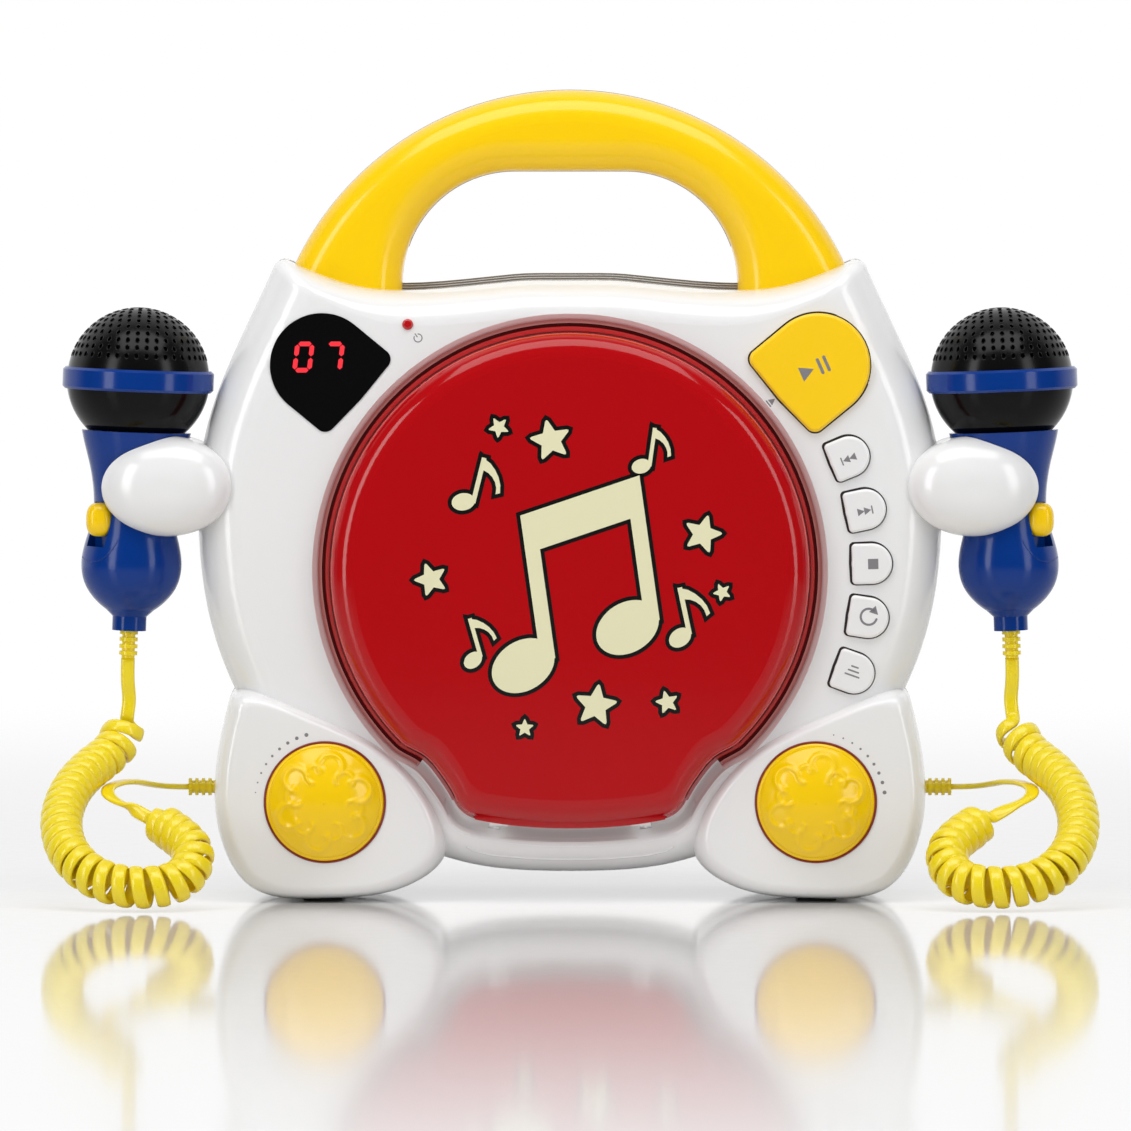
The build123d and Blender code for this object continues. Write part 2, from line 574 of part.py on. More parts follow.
def mechanism_chassis():
    z = LID_CENTRE[1]
    x_end = SLED_START + SLED_TRAVEL + SLED_W / 2 + 1.5
    plate = block(-42, x_end + END_WALL, CHASSIS_Y, CHASSIS_Y + CHASSIS_T, z - 38, z + 38)
    plate = fillet(plate.edges().filter_by(Axis.Y), 5.0)
    for x in (SLED_START - SLED_W / 2 - 1.5 - END_WALL, x_end):
        plate += block(x, x + END_WALL, ROD_Y - 3.5, CHASSIS_Y, z - ROD_OFFSET - 5, z + SCREW_OFFSET + 5)
    plate -= disc(0, z, SHAFT_R + 4, CHASSIS_Y - 1, CHASSIS_Y + 3)
    plate -= block(22, 62, CHASSIS_Y - 1, CHASSIS_Y + 3, z - 11, z + 11)
    for rise in (-ROD_OFFSET, ROD_OFFSET):
        plate -= rod_x(ROD_R, 0, 100, ROD_Y, z + rise)
    return plate - rod_x(ROD_R + RUNNING, 0, 100, ROD_Y, z + SCREW_OFFSET)


def sled_ends():
    """Outer faces of the chassis walls that hold the rods and the screw."""
    return SLED_START - SLED_W / 2 - 1.5 - END_WALL, SLED_START + SLED_TRAVEL + SLED_W / 2 + 1.5 + END_WALL


def guide_rods():
    low, high = sled_ends()
    return Compound(children=[rod_x(ROD_R, low, high, ROD_Y, LID_CENTRE[1] + rise)
                              for rise in (-ROD_OFFSET, ROD_OFFSET)])


def pickup_sled():
    z = LID_CENTRE[1]
    low, high = SLED_START - SLED_W / 2, SLED_START + SLED_W / 2
    sled = block(low, high, ROD_Y - SLED_T / 2, ROD_Y + SLED_T / 2, z - SLED_H / 2, z + SLED_H / 2)
    sled = fillet(sled.edges().filter_by(Axis.Y), 2.0)
    sled += block(SLED_START - 4, SLED_START + 4, ROD_Y - 3, ROD_Y + 3,
                  z + SLED_H / 2 - 1, z + SCREW_OFFSET + 3.5)
    for rise in (-ROD_OFFSET, ROD_OFFSET):
        sled -= rod_x(ROD_R + RUNNING, 0, 100, ROD_Y, z + rise)
    return sled - rod_x(ROD_R + RUNNING, 0, 100, ROD_Y, z + SCREW_OFFSET)


def pickup_lens():
    top = ROD_Y - SLED_T / 2
    rim = disc(SLED_START, LID_CENTRE[1], LENS_R, WELL_FLOOR_Y - 0.6, top)
    return fillet(rim.edges().group_by(Axis.Y)[0], 0.8)


def lead_screw():
    low, high = sled_ends()
    return rod_x(ROD_R, low, high + 2.0, ROD_Y, LID_CENTRE[1] + SCREW_OFFSET)


def sled_motor():
    high = sled_ends()[1]
    can = rod_x(SLED_MOTOR_R, high, high + SLED_MOTOR_L, ROD_Y, LID_CENTRE[1] + SCREW_OFFSET)
    return can - rod_x(ROD_R + RUNNING, high, high + 2.5, ROD_Y, LID_CENTRE[1] + SCREW_OFFSET)


def turntable():
    top = WELL_FLOOR_Y - TURNTABLE_GAP - 1.8
    under = top + TURNTABLE_T
    z = LID_CENTRE[1]
    section = [(0, top - HUB_H), (HUB_R - 1.5, top - HUB_H), (HUB_R, top - HUB_H + 1.5), (HUB_R, top),
               (TURNTABLE_R, top), (TURNTABLE_R, under), (3.5, under), (3.5, under + 3), (0, under + 3)]
    plate = spun(section, 0, z)
    return plate + disc(0, z, SHAFT_R, under, CHASSIS_Y + CHASSIS_T + 6)


def spindle_motor():
    front = CHASSIS_Y + CHASSIS_T
    z = LID_CENTRE[1]
    can = disc(0, z, MOTOR_R, front, front + MOTOR_L)
    can = fillet(can.edges().group_by(Axis.Y)[-1], 1.5)
    return can - disc(0, z, SHAFT_R + RUNNING, front - 1, front + 6.5)


# ------------------------------------------------------------------ controls and boards
def display_window():
    plate = prism(PANEL, FACE_Y - 0.3, SEAT_Y)
    return plate + prism(panel_outline(PANEL_FLANGE), SEAT_Y, SEAT_Y + 1)


def display_module():
    x, z = PANEL_CENTRE
    front = SEAT_Y + 1
    digits = block(x - 12, x + 12, front, front + 7, z - 7, z + 7)
    board = block(x - 13, LED_POS[0] + 5, front + 7, front + 7 + BOARD_T, z - 9, LED_POS[1] + 3)
    return digits + board


def power_led():
    body = disc(*LED_POS, LED_R, FACE_Y - 0.9, SEAT_Y)
    body = fillet(body.edges().group_by(Axis.Y)[0], 0.8)
    flange = disc(*LED_POS, LED_R + 0.7, SEAT_Y, SEAT_Y + 1)
    leads = disc(*LED_POS, 0.6, SEAT_Y + 1, SEAT_Y + 8)
    return body + flange + leads


def cap(outline, flanged, proud, edge):
    """A push button's cap: a rounded top, straight sides and a flange inside the shell."""
    body = prism(outline, FACE_Y - proud, SEAT_Y)
    body = fillet(body.edges().group_by(Axis.Y)[0], edge)
    return body + prism(flanged, SEAT_Y, FLANGE_Y)


def play_button():
    body = cap(PANEL, panel_outline(PANEL_FLANGE), PLAY_PROUD, 1.2)
    x, z = PANEL_CENTRE
    return mirrored(body + disc(x, z, STEM_R, FLANGE_Y, switch_y() - PLAY_TRAVEL - 0.2))


def switch_y():
    """Top of the tactile switches, just beyond a pressed stem."""
    return FLANGE_Y + 3.6


def board_y():
    """Front of the button board."""
    return switch_y() + 3.0


def small_button(angle):
    place = button_place(angle)
    body = cap(place * button_outline(), place * button_outline(BUTTON_FLANGE), BUTTON_PROUD, 1.0)
    centre = place * Pos(-BUTTON_FLAT / 8, 0) * Circle(STEM_R)
    return body + prism(centre, FLANGE_Y, switch_y() - BUTTON_TRAVEL - 0.2)


def button_board():
    """Board behind the right-hand controls with one switch under each button."""
    y = board_y()
    inner, outer = BUTTON_RING - 7.5, BUTTON_RING + 8.0
    ring = Pos(*LID_CENTRE) * (Circle(outer) - Circle(inner))
    window = Pos(BUTTON_RING, LID_CENTRE[1]) * Rectangle(40, 94)
    board = prism(ring & window, y, y + BOARD_T)
    px, pz = -PANEL_CENTRE[0], PANEL_CENTRE[1]
    board += block(px - 9, px + 9, y, y + BOARD_T, pz - 30, pz + 9)
    for angle in BUTTON_ANGLES:
        board += prism(button_place(angle) * Pos(-BUTTON_FLAT / 8, 0) * Rectangle(6, 6), switch_y(), y)
    return board + block(px - 3, px + 3, switch_y(), y, pz - 3, pz + 3)


def knob(side):
    seat = KNOB_SEAT_Y - 0.3
    rim_y = seat - KNOB_SKIRT
    height = rim_y - KNOB_TOP_Y
    ball = (KNOB_R ** 2 + height ** 2) / (2 * height)
    x, z = side * -FOOT_CENTRE[0], FOOT_CENTRE[1]
    dome = Pos(x, KNOB_TOP_Y + ball, z) * Sphere(ball) & disc(x, z, KNOB_R, KNOB_TOP_Y - 1, rim_y)
    skirt = disc(x, z, KNOB_R, rim_y, seat)
    body = dome + skirt
    hollow = disc(x, z, KNOB_R - 2.2, rim_y - 0.6, seat) - disc(x, z, 5.5, rim_y - 0.6, seat)
    return body - hollow - disc(x, z, POT_SHAFT_R, rim_y - 3.0, seat)


def pot_shaft(side):
    seat = KNOB_SEAT_Y
    x, z = side * -FOOT_CENTRE[0], FOOT_CENTRE[1]
    return disc(x, z, POT_SHAFT_R, seat - 0.3 - KNOB_SKIRT - 3.0, seat + WALL + 5)


def potentiometers():
    seat = KNOB_SEAT_Y
    pots = []
    for side in (-1, 1):
        x, z = side * -FOOT_CENTRE[0], FOOT_CENTRE[1]
        can = disc(x, z, POT_R, seat + WALL, seat + WALL + POT_L)
        tongue = block(x - 6, x + 6, seat + WALL + 3, seat + WALL + 4.5, z - POT_R - 6, z - POT_R + 2)
        bore = disc(x, z, POT_SHAFT_R + RUNNING, seat, seat + WALL + 5.2)
        bush = disc(x, z, POT_SHAFT_R + 1.0, seat + 0.5, seat + WALL)
        pots.append(can + tongue + bush - bore)
    return Compound(children=pots)


def main_board():
    half_w, half_h, z = MAIN_BOARD_W / 2, MAIN_BOARD_H / 2, LID_CENTRE[1] - 6
    board = block(-half_w, half_w, MAIN_BOARD_Y, MAIN_BOARD_Y + BOARD_T, z - half_h, z + half_h)
    for x, rise, w, h, t in CHIPS:
        board += block(x - w / 2, x + w / 2, MAIN_BOARD_Y - t, MAIN_BOARD_Y,
                       z + rise - h / 2, z + rise + h / 2)
    return board


def speaker():
    wall_y = BACK_Y - WALL
    back_y = wall_y - SPEAKER_DEPTH
    frame = [(0, back_y), (15, back_y), (15, wall_y - 12), (18, wall_y - 12),
             (SPEAKER_R - 3, wall_y - 3), (SPEAKER_R, wall_y - 3), (SPEAKER_R, wall_y),
             (SPEAKER_R - 2.5, wall_y), (SPEAKER_R - 4.5, wall_y - 2.4),
             (14, wall_y - 10.5), (0, wall_y - 10.5)]
    cone = [(0, wall_y - 5.5), (6, wall_y - 7.5), (9, wall_y - 8), (SPEAKER_R - 5, wall_y - 1.8),
            (SPEAKER_R - 3, wall_y - 0.8), (SPEAKER_R - 3, wall_y - 1.4), (SPEAKER_R - 5, wall_y - 2.6),
            (9, wall_y - 9), (6, wall_y - 9), (0, wall_y - 9)]
    return Compound(children=[spun(frame, 0, SPEAKER_Z), spun(cone, 0, SPEAKER_Z)])


def battery_contacts():
    """Spring and button plates on the two end walls, one pair for each of the three rows."""
    plates = []
    rows = [BAY_LOW + (BAY_HIGH - BAY_LOW) * (row + 0.5) / 3 for row in range(3)]
    y = BACK_Y - BAY_DEPTH + CELL_R + 0.5
    for z in rows:
        for side in (-1, 1):
            wall_x = side * BAY_HALF_W
            inner = wall_x - side * CONTACT_T
            low, high = sorted((wall_x, inner))
            plate = block(low, high, y - 8, y + 8, z - 8, z + 8)
            bump = rod_x(3.5, inner, inner - side * 2.0, y, z)
            plates.append(plate + bump)
    return Compound(children=plates)


def battery_door():
    door = door_block(BACK_Y - DOOR_T)
    for x in (-30, 30):
        door += block(x - 6, x + 6, BACK_Y - DOOR_T - 1.5, BACK_Y - DOOR_T + 0.5, BAY_LOW + 0.5, BAY_LOW + 3)
    latch = block(-9, 9, BACK_Y - DOOR_T - 6, BACK_Y - DOOR_T + 0.5, BAY_HIGH - 2.2, BAY_HIGH - 0.6)
    door += latch
    grip = Pos(0, BACK_Y, BAY_HIGH - 8) * Rot(0, 90, 0) * Cylinder(1.2, 24)
    for rib in range(3):
        door -= Pos(0, 0, -3.5 * rib) * grip
    return door


def dc_jack():
    front = BACK_Y - JACK_L - 2
    shoulder = BACK_Y - WALL - CLEAR
    body = block(JACK_X - 7, JACK_X + 7, front, shoulder, JACK_Z - 6, JACK_Z + 6)
    nose = disc(JACK_X, JACK_Z, 4.8, shoulder, BACK_Y)
    return body + nose - disc(JACK_X, JACK_Z, JACK_BORE, BACK_Y - JACK_L, BACK_Y)


def rubber_feet():
    return Compound(children=pads())


# ------------------------------------------------------------------ microphones
def mic_frame(shape):
    """A shape drawn about the mic's own axis, leant and set in the left-hand holder."""
    return Pos(-MIC_X, MIC_Y, HEAD_Z) * Rot(0, MIC_LEAN, 0) * Pos(0, 0, -HEAD_Z) * shape


def turned(points):
    return revolve(Plane.XZ * make_face(Polyline(*points, close=True)), axis=Axis.Z)


def handle_section(grow=0.0):
    """Half outline of the mic handle, from collar to stem."""
    points = [(r + grow, z) for r, z in MIC_PROFILE]
    return Spline(*points)


def mic_handle():
    top = Line((0, MIC_PROFILE[0][1]), MIC_PROFILE[0])
    side = handle_section()
    stem = Polyline(MIC_PROFILE[-1], (MIC_STEM_R, 88.4), (MIC_STEM_R, STEM_BOTTOM), (0, STEM_BOTTOM),
                    (0, MIC_PROFILE[0][1]))
    body = revolve(Plane.XZ * make_face([top, side] + stem.edges()), axis=Axis.Z)
    room = Box(SWITCH_W + CLEAR, 8.0, SWITCH_H + SWITCH_TRAVEL + CLEAR)
    return mic_frame(body - Pos(0, 0, -SWITCH_TRAVEL / 2) * switch_place(0.4) * room)


def head_ball(z_low, z_high):
    ball = Pos(0, 0, HEAD_Z) * (Sphere(HEAD_R) - Sphere(HEAD_R - HEAD_WALL))
    slab = Pos(0, 0, (z_low + z_high) / 2) * Cylinder(HEAD_R + 5, z_high - z_low)
    return ball & slab


def mic_grille():
    return mic_frame(head_ball(BAND_HIGH, HEAD_Z + HEAD_R + 1))


def mic_cup():
    shell = head_ball(COLLAR_Z + 0.1, BAND_LOW)
    floor = Pos(0, 0, COLLAR_Z + 1.1) * Cylinder(sqrt(HEAD_R ** 2 - (HEAD_Z - COLLAR_Z) ** 2), 2.0)
    ball = Pos(0, 0, HEAD_Z) * Sphere(HEAD_R)
    return mic_frame(shell + (floor & ball))


def mic_band():
    inner = HEAD_R - HEAD_WALL - 0.4
    ring = [(inner, BAND_LOW), (BAND_R - 0.8, BAND_LOW), (BAND_R, BAND_LOW + 0.8), (BAND_R, BAND_HIGH - 0.8),
            (BAND_R - 0.8, BAND_HIGH), (inner, BAND_HIGH)]
    return mic_frame(turned(ring))


def mic_capsule():
    stem = Pos(0, 0, (COLLAR_Z + 2.1 + BAND_HIGH) / 2) * Cylinder(2.2, BAND_HIGH - COLLAR_Z - 2.1)
    return mic_frame(stem + Pos(0, 0, BAND_HIGH + CAPSULE_H / 2) * Cylinder(CAPSULE_R, CAPSULE_H))


def mic_switch():
    """Thumb switch on the outer front of the neck; it slides along the mic."""
    body = Box(SWITCH_W, 4.0, SWITCH_H)
    body = fillet(body.edges().filter_by(Axis.Y), 3.0)
    body = fillet(body.edges().group_by(Axis.Y)[0], 1.2)
    return mic_frame(switch_place(2.0) * body)


def switch_place(depth):
    """Where the switch lies on the neck: turned outwards, its middle this far under its face."""
    return Pos(0, 0, SWITCH_Z) * Rot(0, 0, -SWITCH_AZ) * Pos(0, depth - SWITCH_OUT, 0)


def mic_relief():
    top = STEM_BOTTOM
    points = [(0, top), (RELIEF_R, top)]
    pitch = RELIEF_L / RELIEF_RIBS
    for rib in range(RELIEF_RIBS):
        z = top - rib * pitch
        points += [(RELIEF_R, z - 0.55 * pitch), (RELIEF_R - 0.8, z - 0.6 * pitch),
                   (RELIEF_R - 0.8, z - 0.95 * pitch), (RELIEF_R, z - pitch)]
    points = points[:-2] + [(RELIEF_R - 0.8, top - RELIEF_L), (0, top - RELIEF_L)]
    return mic_frame(turned(points))


def pod_slot():
    """The way in for the mic: its own neck swept outwards, with a little room."""
    (rim, neck), (foot, low) = MIC_PROFILE[0], MIC_PROFILE[-1]
    rim, foot, top = rim + POD_SLOT_GAP, foot + POD_SLOT_GAP, neck + POD_SLOT_GAP + 2
    ends = Polyline((foot, low), (0, low), (0, top), (rim, top), (rim, neck))
    half = make_face([handle_section(POD_SLOT_GAP)] + ends.edges())
    round_part = revolve(Plane.XZ * half, axis=Axis.Z)
    across = Plane.YZ * (half + mirror(half, about=Plane.YZ))
    return mic_frame(round_part + extrude(across, amount=-40))


def mic_holder():
    """An egg-shaped fork: one finger in front of the mic's neck and one behind it."""
    egg = Pos(-POD_X, POD_Z) * Ellipse(POD_RX, POD_RZ)
    centre = (-POD_X, POD_Z)
    body = prism(egg, MIC_Y - POD_FLAT, MIC_Y + POD_FLAT)
    for way in (-1, 1):
        body += pillow(egg, centre, edge_profile(MIC_Y + way * POD_FLAT, MIC_Y + way * POD_HALF_T, POD_INSET))
    return body - FRONT_MASS - BACK_MASS - pod_slot()


# ------------------------------------------------------------------ cords
def route(points):
    """Straight runs joined by arcs, each arc as large as its two runs allow."""
    places = [Vector(*p) for p in points]
    sizes = []
    for before, here, after in zip(places, places[1:], places[2:]):
        first, second = here - before, after - here
        turn = radians(first.get_angle(second))
        sizes.append(0.45 * min(first.length, second.length) / tan(turn / 2))
    return FilletPolyline(*points, radius=sizes), sizes


def tube(points, radius, name):
    line, sizes = route(points)
    print(f"{name}: length {line.length:.1f} mm, tightest bend {min(sizes):.1f} mm")
    start = Plane(origin=line @ 0, z_dir=line % 0)
    return sweep(start * Circle(radius), path=line)


def lead_route():
    """From the mic's strain relief straight down its own axis, then into the coil."""
    lean = radians(MIC_LEAN)
    drop = HEAD_Z - STEM_BOTTOM + RELIEF_L
    exit_point = Vector(-MIC_X - drop * sin(lean), MIC_Y, HEAD_Z - drop * cos(lean))
    down = Vector(-sin(lean), 0, -cos(lean))
    start, after = Vector(*COIL_ROUTE[0]), Vector(*COIL_ROUTE[1])
    into = (after - start).normalized()
    return [tuple(p) for p in (exit_point, exit_point + down * EXIT_RUN, start - into * 5.0, start)]


def cord_coil():
    return tube(COIL_ROUTE, COIL_R, "coil")


def cord_tubes():
    before, end = Vector(*COIL_ROUTE[-2]), Vector(*COIL_ROUTE[-1])
    tail = [tuple(end), tuple(end + (end - before).normalized() * EXIT_RUN)] + TAIL_ROUTE
    tail += [(-GLAND_TIP_X - back, GLAND_Y, GLAND_Z) for back in (EXIT_RUN, 0.0)]
    return Compound(children=[tube(lead_route(), CORD_R, "lead"), tube(tail, CORD_R, "tail")])


def cord_gland():
    """Ribbed relief that the cord comes out of, on the outer side of a foot."""
    pitch = (GLAND_TIP_X - GLAND_FACE_X) / GLAND_RIBS
    gland = rod_x(GLAND_R - GLAND_CORE, -GLAND_ROOT_X, -GLAND_TIP_X, GLAND_Y, GLAND_Z)
    for rib in range(GLAND_RIBS):
        x = -GLAND_TIP_X + rib * pitch
        gland += rod_x(GLAND_R, x, x + pitch / 2, GLAND_Y, GLAND_Z)
    return gland


def build():
    """Every piece by its node's name."""
    pieces = {
        "front_shell": front_shell(), "rear_shell": rear_shell(), "housing_screws": housing_screws(),
        "rubber_feet": rubber_feet(), "handle_front": handle_half(-1), "handle_rear": handle_half(1),
        "disc_lid": disc_lid(), "lid_hinge_pins": lid_hinge_pins(), "latch_housing": latch_housing(),
        "latch_slider": latch_slider(), "disc_tray": disc_tray(), "mechanism_chassis": mechanism_chassis(),
        "guide_rods": guide_rods(), "pickup_sled": pickup_sled(), "pickup_lens": pickup_lens(),
        "lead_screw": lead_screw(), "sled_motor": sled_motor(), "turntable": turntable(),
        "spindle_motor": spindle_motor(), "display_window": display_window(),
        "display_module": display_module(), "power_led": power_led(), "play_button": play_button(),
        "button_board": button_board(), "potentiometers": potentiometers(), "main_board": main_board(),
        "speaker": speaker(), "battery_contacts": battery_contacts(), "battery_door": battery_door(),
        "dc_jack": dc_jack(), "cord_glands": both(cord_gland()),
    }
    names = ["back_skip", "forward_skip", "stop", "repeat", "mode"]
    for name, angle in zip(names, BUTTON_ANGLES):
        pieces[f"button_{name}"] = small_button(angle)
    for side, word in ((-1, "left"), (1, "right")):
        pieces[f"knob_{word}"] = knob(side)
        pieces[f"pot_shaft_{word}"] = pot_shaft(side)
    left = {"mic_holder": mic_holder(), "mic_grille": mic_grille(), "mic_cup": mic_cup(),
            "mic_band": mic_band(), "mic_handle": mic_handle(), "mic_switch": mic_switch(),
            "mic_capsule": mic_capsule(), "mic_relief": mic_relief(), "cord_coil": cord_coil(),
            "cord_tubes": cord_tubes()}
    for name, shape in left.items():
        pieces[f"{name}_left"] = shape
        pieces[f"{name}_right"] = mirrored(shape)
    return pieces


os.makedirs("parts", exist_ok=True)
for node, shape in build().items():
    export_step(shape, f"parts/{node}.step")
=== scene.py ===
"""Looks of a children's karaoke disc player: finishes, cords, microphone heads, lid picture and marks.

Lengths are in metres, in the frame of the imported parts: +X is the player's right seen from the
front, -Y is the front and +Z is up.  Sketches are drawn with X across and Z up.
"""
import json
import math

import bmesh
import bpy
from bpy.props import FloatProperty, FloatVectorProperty, IntProperty, PointerProperty
from bpy.types import Operator, Panel, PropertyGroup
from mathutils import Matrix, Vector
from mathutils.bvhtree import BVHTree
from mathutils.geometry import tessellate_polygon


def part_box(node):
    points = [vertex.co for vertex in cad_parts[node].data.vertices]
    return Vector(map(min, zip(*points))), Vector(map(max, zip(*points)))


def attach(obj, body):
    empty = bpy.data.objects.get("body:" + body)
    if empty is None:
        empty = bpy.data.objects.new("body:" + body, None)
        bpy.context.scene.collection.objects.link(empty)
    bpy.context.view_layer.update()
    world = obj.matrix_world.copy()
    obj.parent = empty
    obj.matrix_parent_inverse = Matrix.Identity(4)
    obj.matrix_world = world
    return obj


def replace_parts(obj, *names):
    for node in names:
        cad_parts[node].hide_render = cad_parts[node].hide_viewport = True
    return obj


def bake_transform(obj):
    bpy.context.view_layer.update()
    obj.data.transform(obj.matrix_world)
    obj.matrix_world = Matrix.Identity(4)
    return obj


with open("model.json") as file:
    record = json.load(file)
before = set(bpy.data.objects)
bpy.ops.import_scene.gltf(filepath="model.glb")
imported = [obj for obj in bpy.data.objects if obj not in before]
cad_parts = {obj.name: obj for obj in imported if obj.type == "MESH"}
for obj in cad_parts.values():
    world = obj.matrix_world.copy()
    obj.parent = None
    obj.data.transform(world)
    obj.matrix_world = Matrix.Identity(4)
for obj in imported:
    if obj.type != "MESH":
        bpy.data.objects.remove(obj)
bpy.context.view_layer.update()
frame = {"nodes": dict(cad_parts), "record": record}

bl_info = {
    "name": "Karaoke player looks",
    "version": (1, 0, 0),
    "blender": (4, 5, 0),
    "location": "View3D > Sidebar > Karaoke",
    "description": "Finishes and fine pieces of a karaoke disc player",
    "category": "Object",
}

MM = 0.001
SIDES = (("left", -1), ("right", 1))


def shade(red, green, blue):
    """A colour given as it looks on a screen, 0 to 255, as the linear colour that shaders use."""
    def linear(value):
        part = value / 255
        return part / 12.92 if part <= 0.04045 else ((part + 0.055) / 1.055) ** 2.4
    return (linear(red), linear(green), linear(blue))


# ------------------------------------------------------------------ settings
class FinishSettings(PropertyGroup):
    """Colours of the player's mouldings"""
    white: FloatVectorProperty(name="White", description="Shells, holders and small buttons",
                               subtype="COLOR", default=shade(237, 237, 237))
    yellow: FloatVectorProperty(name="Yellow", description="Handle, big button, knobs and switches",
                                subtype="COLOR", default=shade(255, 207, 2))
    red: FloatVectorProperty(name="Red", description="Disc lid", subtype="COLOR",
                             default=shade(178, 6, 14))
    blue: FloatVectorProperty(name="Blue", description="Microphone handles and bands",
                              subtype="COLOR", default=shade(2, 52, 132))
    cord: FloatVectorProperty(name="Cord", description="Curly cords", subtype="COLOR",
                              default=shade(250, 222, 16))
    ink: FloatVectorProperty(name="Ink", description="Printed marks", subtype="COLOR",
                             default=shade(128, 126, 130))


class CordSettings(PropertyGroup):
    """Sizes of a curly cord"""
    length: FloatProperty(name="Length", description="Cord from relief to gland, its turns unwound",
                          unit="LENGTH", default=1.2)
    width: FloatProperty(name="Width", description="Width of the flat cord", unit="LENGTH",
                         default=4.3 * MM)
    thickness: FloatProperty(name="Thickness", description="Thickness of the flat cord",
                             unit="LENGTH", default=1.8 * MM)
    coil_radius: FloatProperty(name="Coil radius", description="Middle of the cord to the coil's axis",
                               unit="LENGTH", default=5.7 * MM)
    first_turn: FloatProperty(name="First turn", description="How much wider the loose first turn is",
                              subtype="FACTOR", default=0.35)


class HeadSettings(PropertyGroup):
    """Sizes of a microphone's perforated head"""
    hole_radius: FloatProperty(name="Hole radius", description="Radius of one hole", unit="LENGTH",
                               default=0.68 * MM)
    hole_height: FloatProperty(name="Hole height", description="Height of a hole as a share of its width",
                               default=1.4)
    row_gap: FloatProperty(name="Row gap", description="From one row of holes to the next",
                           unit="LENGTH", default=2.75 * MM)
    hole_gap: FloatProperty(name="Hole gap", description="From one hole to the next in a row",
                            unit="LENGTH", default=3.05 * MM)
    first_row: FloatProperty(name="First row", description="Lowest row's angle above the band's plane",
                             subtype="ANGLE", default=math.radians(19.5))
    wall: FloatProperty(name="Wall", description="Thickness of the head's wall", unit="LENGTH",
                        default=0.9 * MM)


class LidSettings(PropertyGroup):
    """Colours and sizes of the lid's picture"""
    cream: FloatVectorProperty(name="Cream", description="Filled parts", subtype="COLOR",
                               default=shade(232, 229, 190))
    # The dark band round the lid is painted shade on its turned-down edge.
    rim_shade_width: FloatProperty(name="Edge band", description="Width of the dark band round the lid",
                             unit="LENGTH", default=0.9 * MM)
    outline: FloatProperty(name="Outline", description="Width of the black outlines", unit="LENGTH",
                           default=1.25 * MM)


class KnobSettings(PropertyGroup):
    """Relief on the two knobs"""
    curls: IntProperty(name="Curls", description="Raised curls round a knob", default=6, min=1)
    rise: FloatProperty(name="Rise", description="Height of a curl", unit="LENGTH",
                        default=0.75 * MM)


class StageSettings(PropertyGroup):
    """Camera and lamps"""
    distance: FloatProperty(name="Distance", description="Camera to the player's face",
                            unit="LENGTH", default=3.4)
    elevation: FloatProperty(name="Elevation", description="Camera above the level of its target",
                             subtype="ANGLE", default=math.radians(2.2))
    view_width: FloatProperty(name="View width", description="Width of the view at the face",
                              unit="LENGTH", default=0.3495)
    lamp_power: FloatProperty(name="Lamp power", description="Power of the overhead lamp",
                              unit="POWER", default=8.3)


SETTINGS = {"karaoke_finish": FinishSettings, "karaoke_cord": CordSettings,
            "karaoke_head": HeadSettings, "karaoke_lid": LidSettings, "karaoke_knob": KnobSettings,
            "karaoke_stage": StageSettings}


def settings(name):
    return getattr(bpy.context.scene, "karaoke_" + name)


# ------------------------------------------------------------------ nodes
def node(tree, kind, links=(), **values):
    """Adds a node, sets its properties, and joins outputs or gives values to its inputs."""
    made = tree.nodes.new(kind)
    for label, value in values.items():
        setattr(made, label, value)
    for label, source in dict(links).items():
        if hasattr(source, "is_output"):
            tree.links.new(source, made.inputs[label])
        else:
            made.inputs[label].default_value = source
    return made


# ------------------------------------------------------------------ finishes
TINT_SCALE = 22.0                  # how fine the drift of colour is, and that of the gloss
GLOSS_SCALE = 160.0
GRAIN_DEPTH = 0.02 * MM


def noise(tree, place, scale, detail=3.0):
    return node(tree, "ShaderNodeTexNoise", {"Vector": place.outputs["Object"], "Scale": scale,
                                             "Detail": detail}).outputs["Fac"]


def moulded(name, colour, roughness, drift, coat, grain, bump, constants=()):
    """A moulded or plated finish: colour, gloss and surface vary with noise in the piece's own space."""
    material = bpy.data.materials.new("finish_" + name)
    material.use_nodes = True
    tree = material.node_tree
    shader = tree.nodes["Principled BSDF"]
    place = node(tree, "ShaderNodeTexCoord")
    dark, light = [(*[min(part * (1 + way * drift), 1) for part in colour], 1) for way in (-1, 1)]
    tint = node(tree, "ShaderNodeMix", {"Factor": noise(tree, place, TINT_SCALE), "A": dark, "B": light},
                data_type="RGBA")
    gloss = node(tree, "ShaderNodeMapRange", {"Value": noise(tree, place, GLOSS_SCALE, 4.0),
                                              "To Min": roughness * 0.8, "To Max": roughness * 1.25})
    relief = node(tree, "ShaderNodeBump", {"Height": noise(tree, place, grain, 2.0), "Strength": bump,
                                           "Distance": GRAIN_DEPTH})
    tree.links.new(tint.outputs["Result"], shader.inputs["Base Color"])
    tree.links.new(gloss.outputs["Result"], shader.inputs["Roughness"])
    tree.links.new(relief.outputs["Normal"], shader.inputs["Normal"])
    for label, value in {"Coat Weight": coat, "Coat Roughness": 0.04, **dict(constants)}.items():
        shader.inputs[label].default_value = value
    return material


FINISHES = {}


def finish(slot):
    """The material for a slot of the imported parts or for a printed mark, made once."""
    if slot not in FINISHES:
        FINISHES[slot] = new_finish(slot)
    return FINISHES[slot]


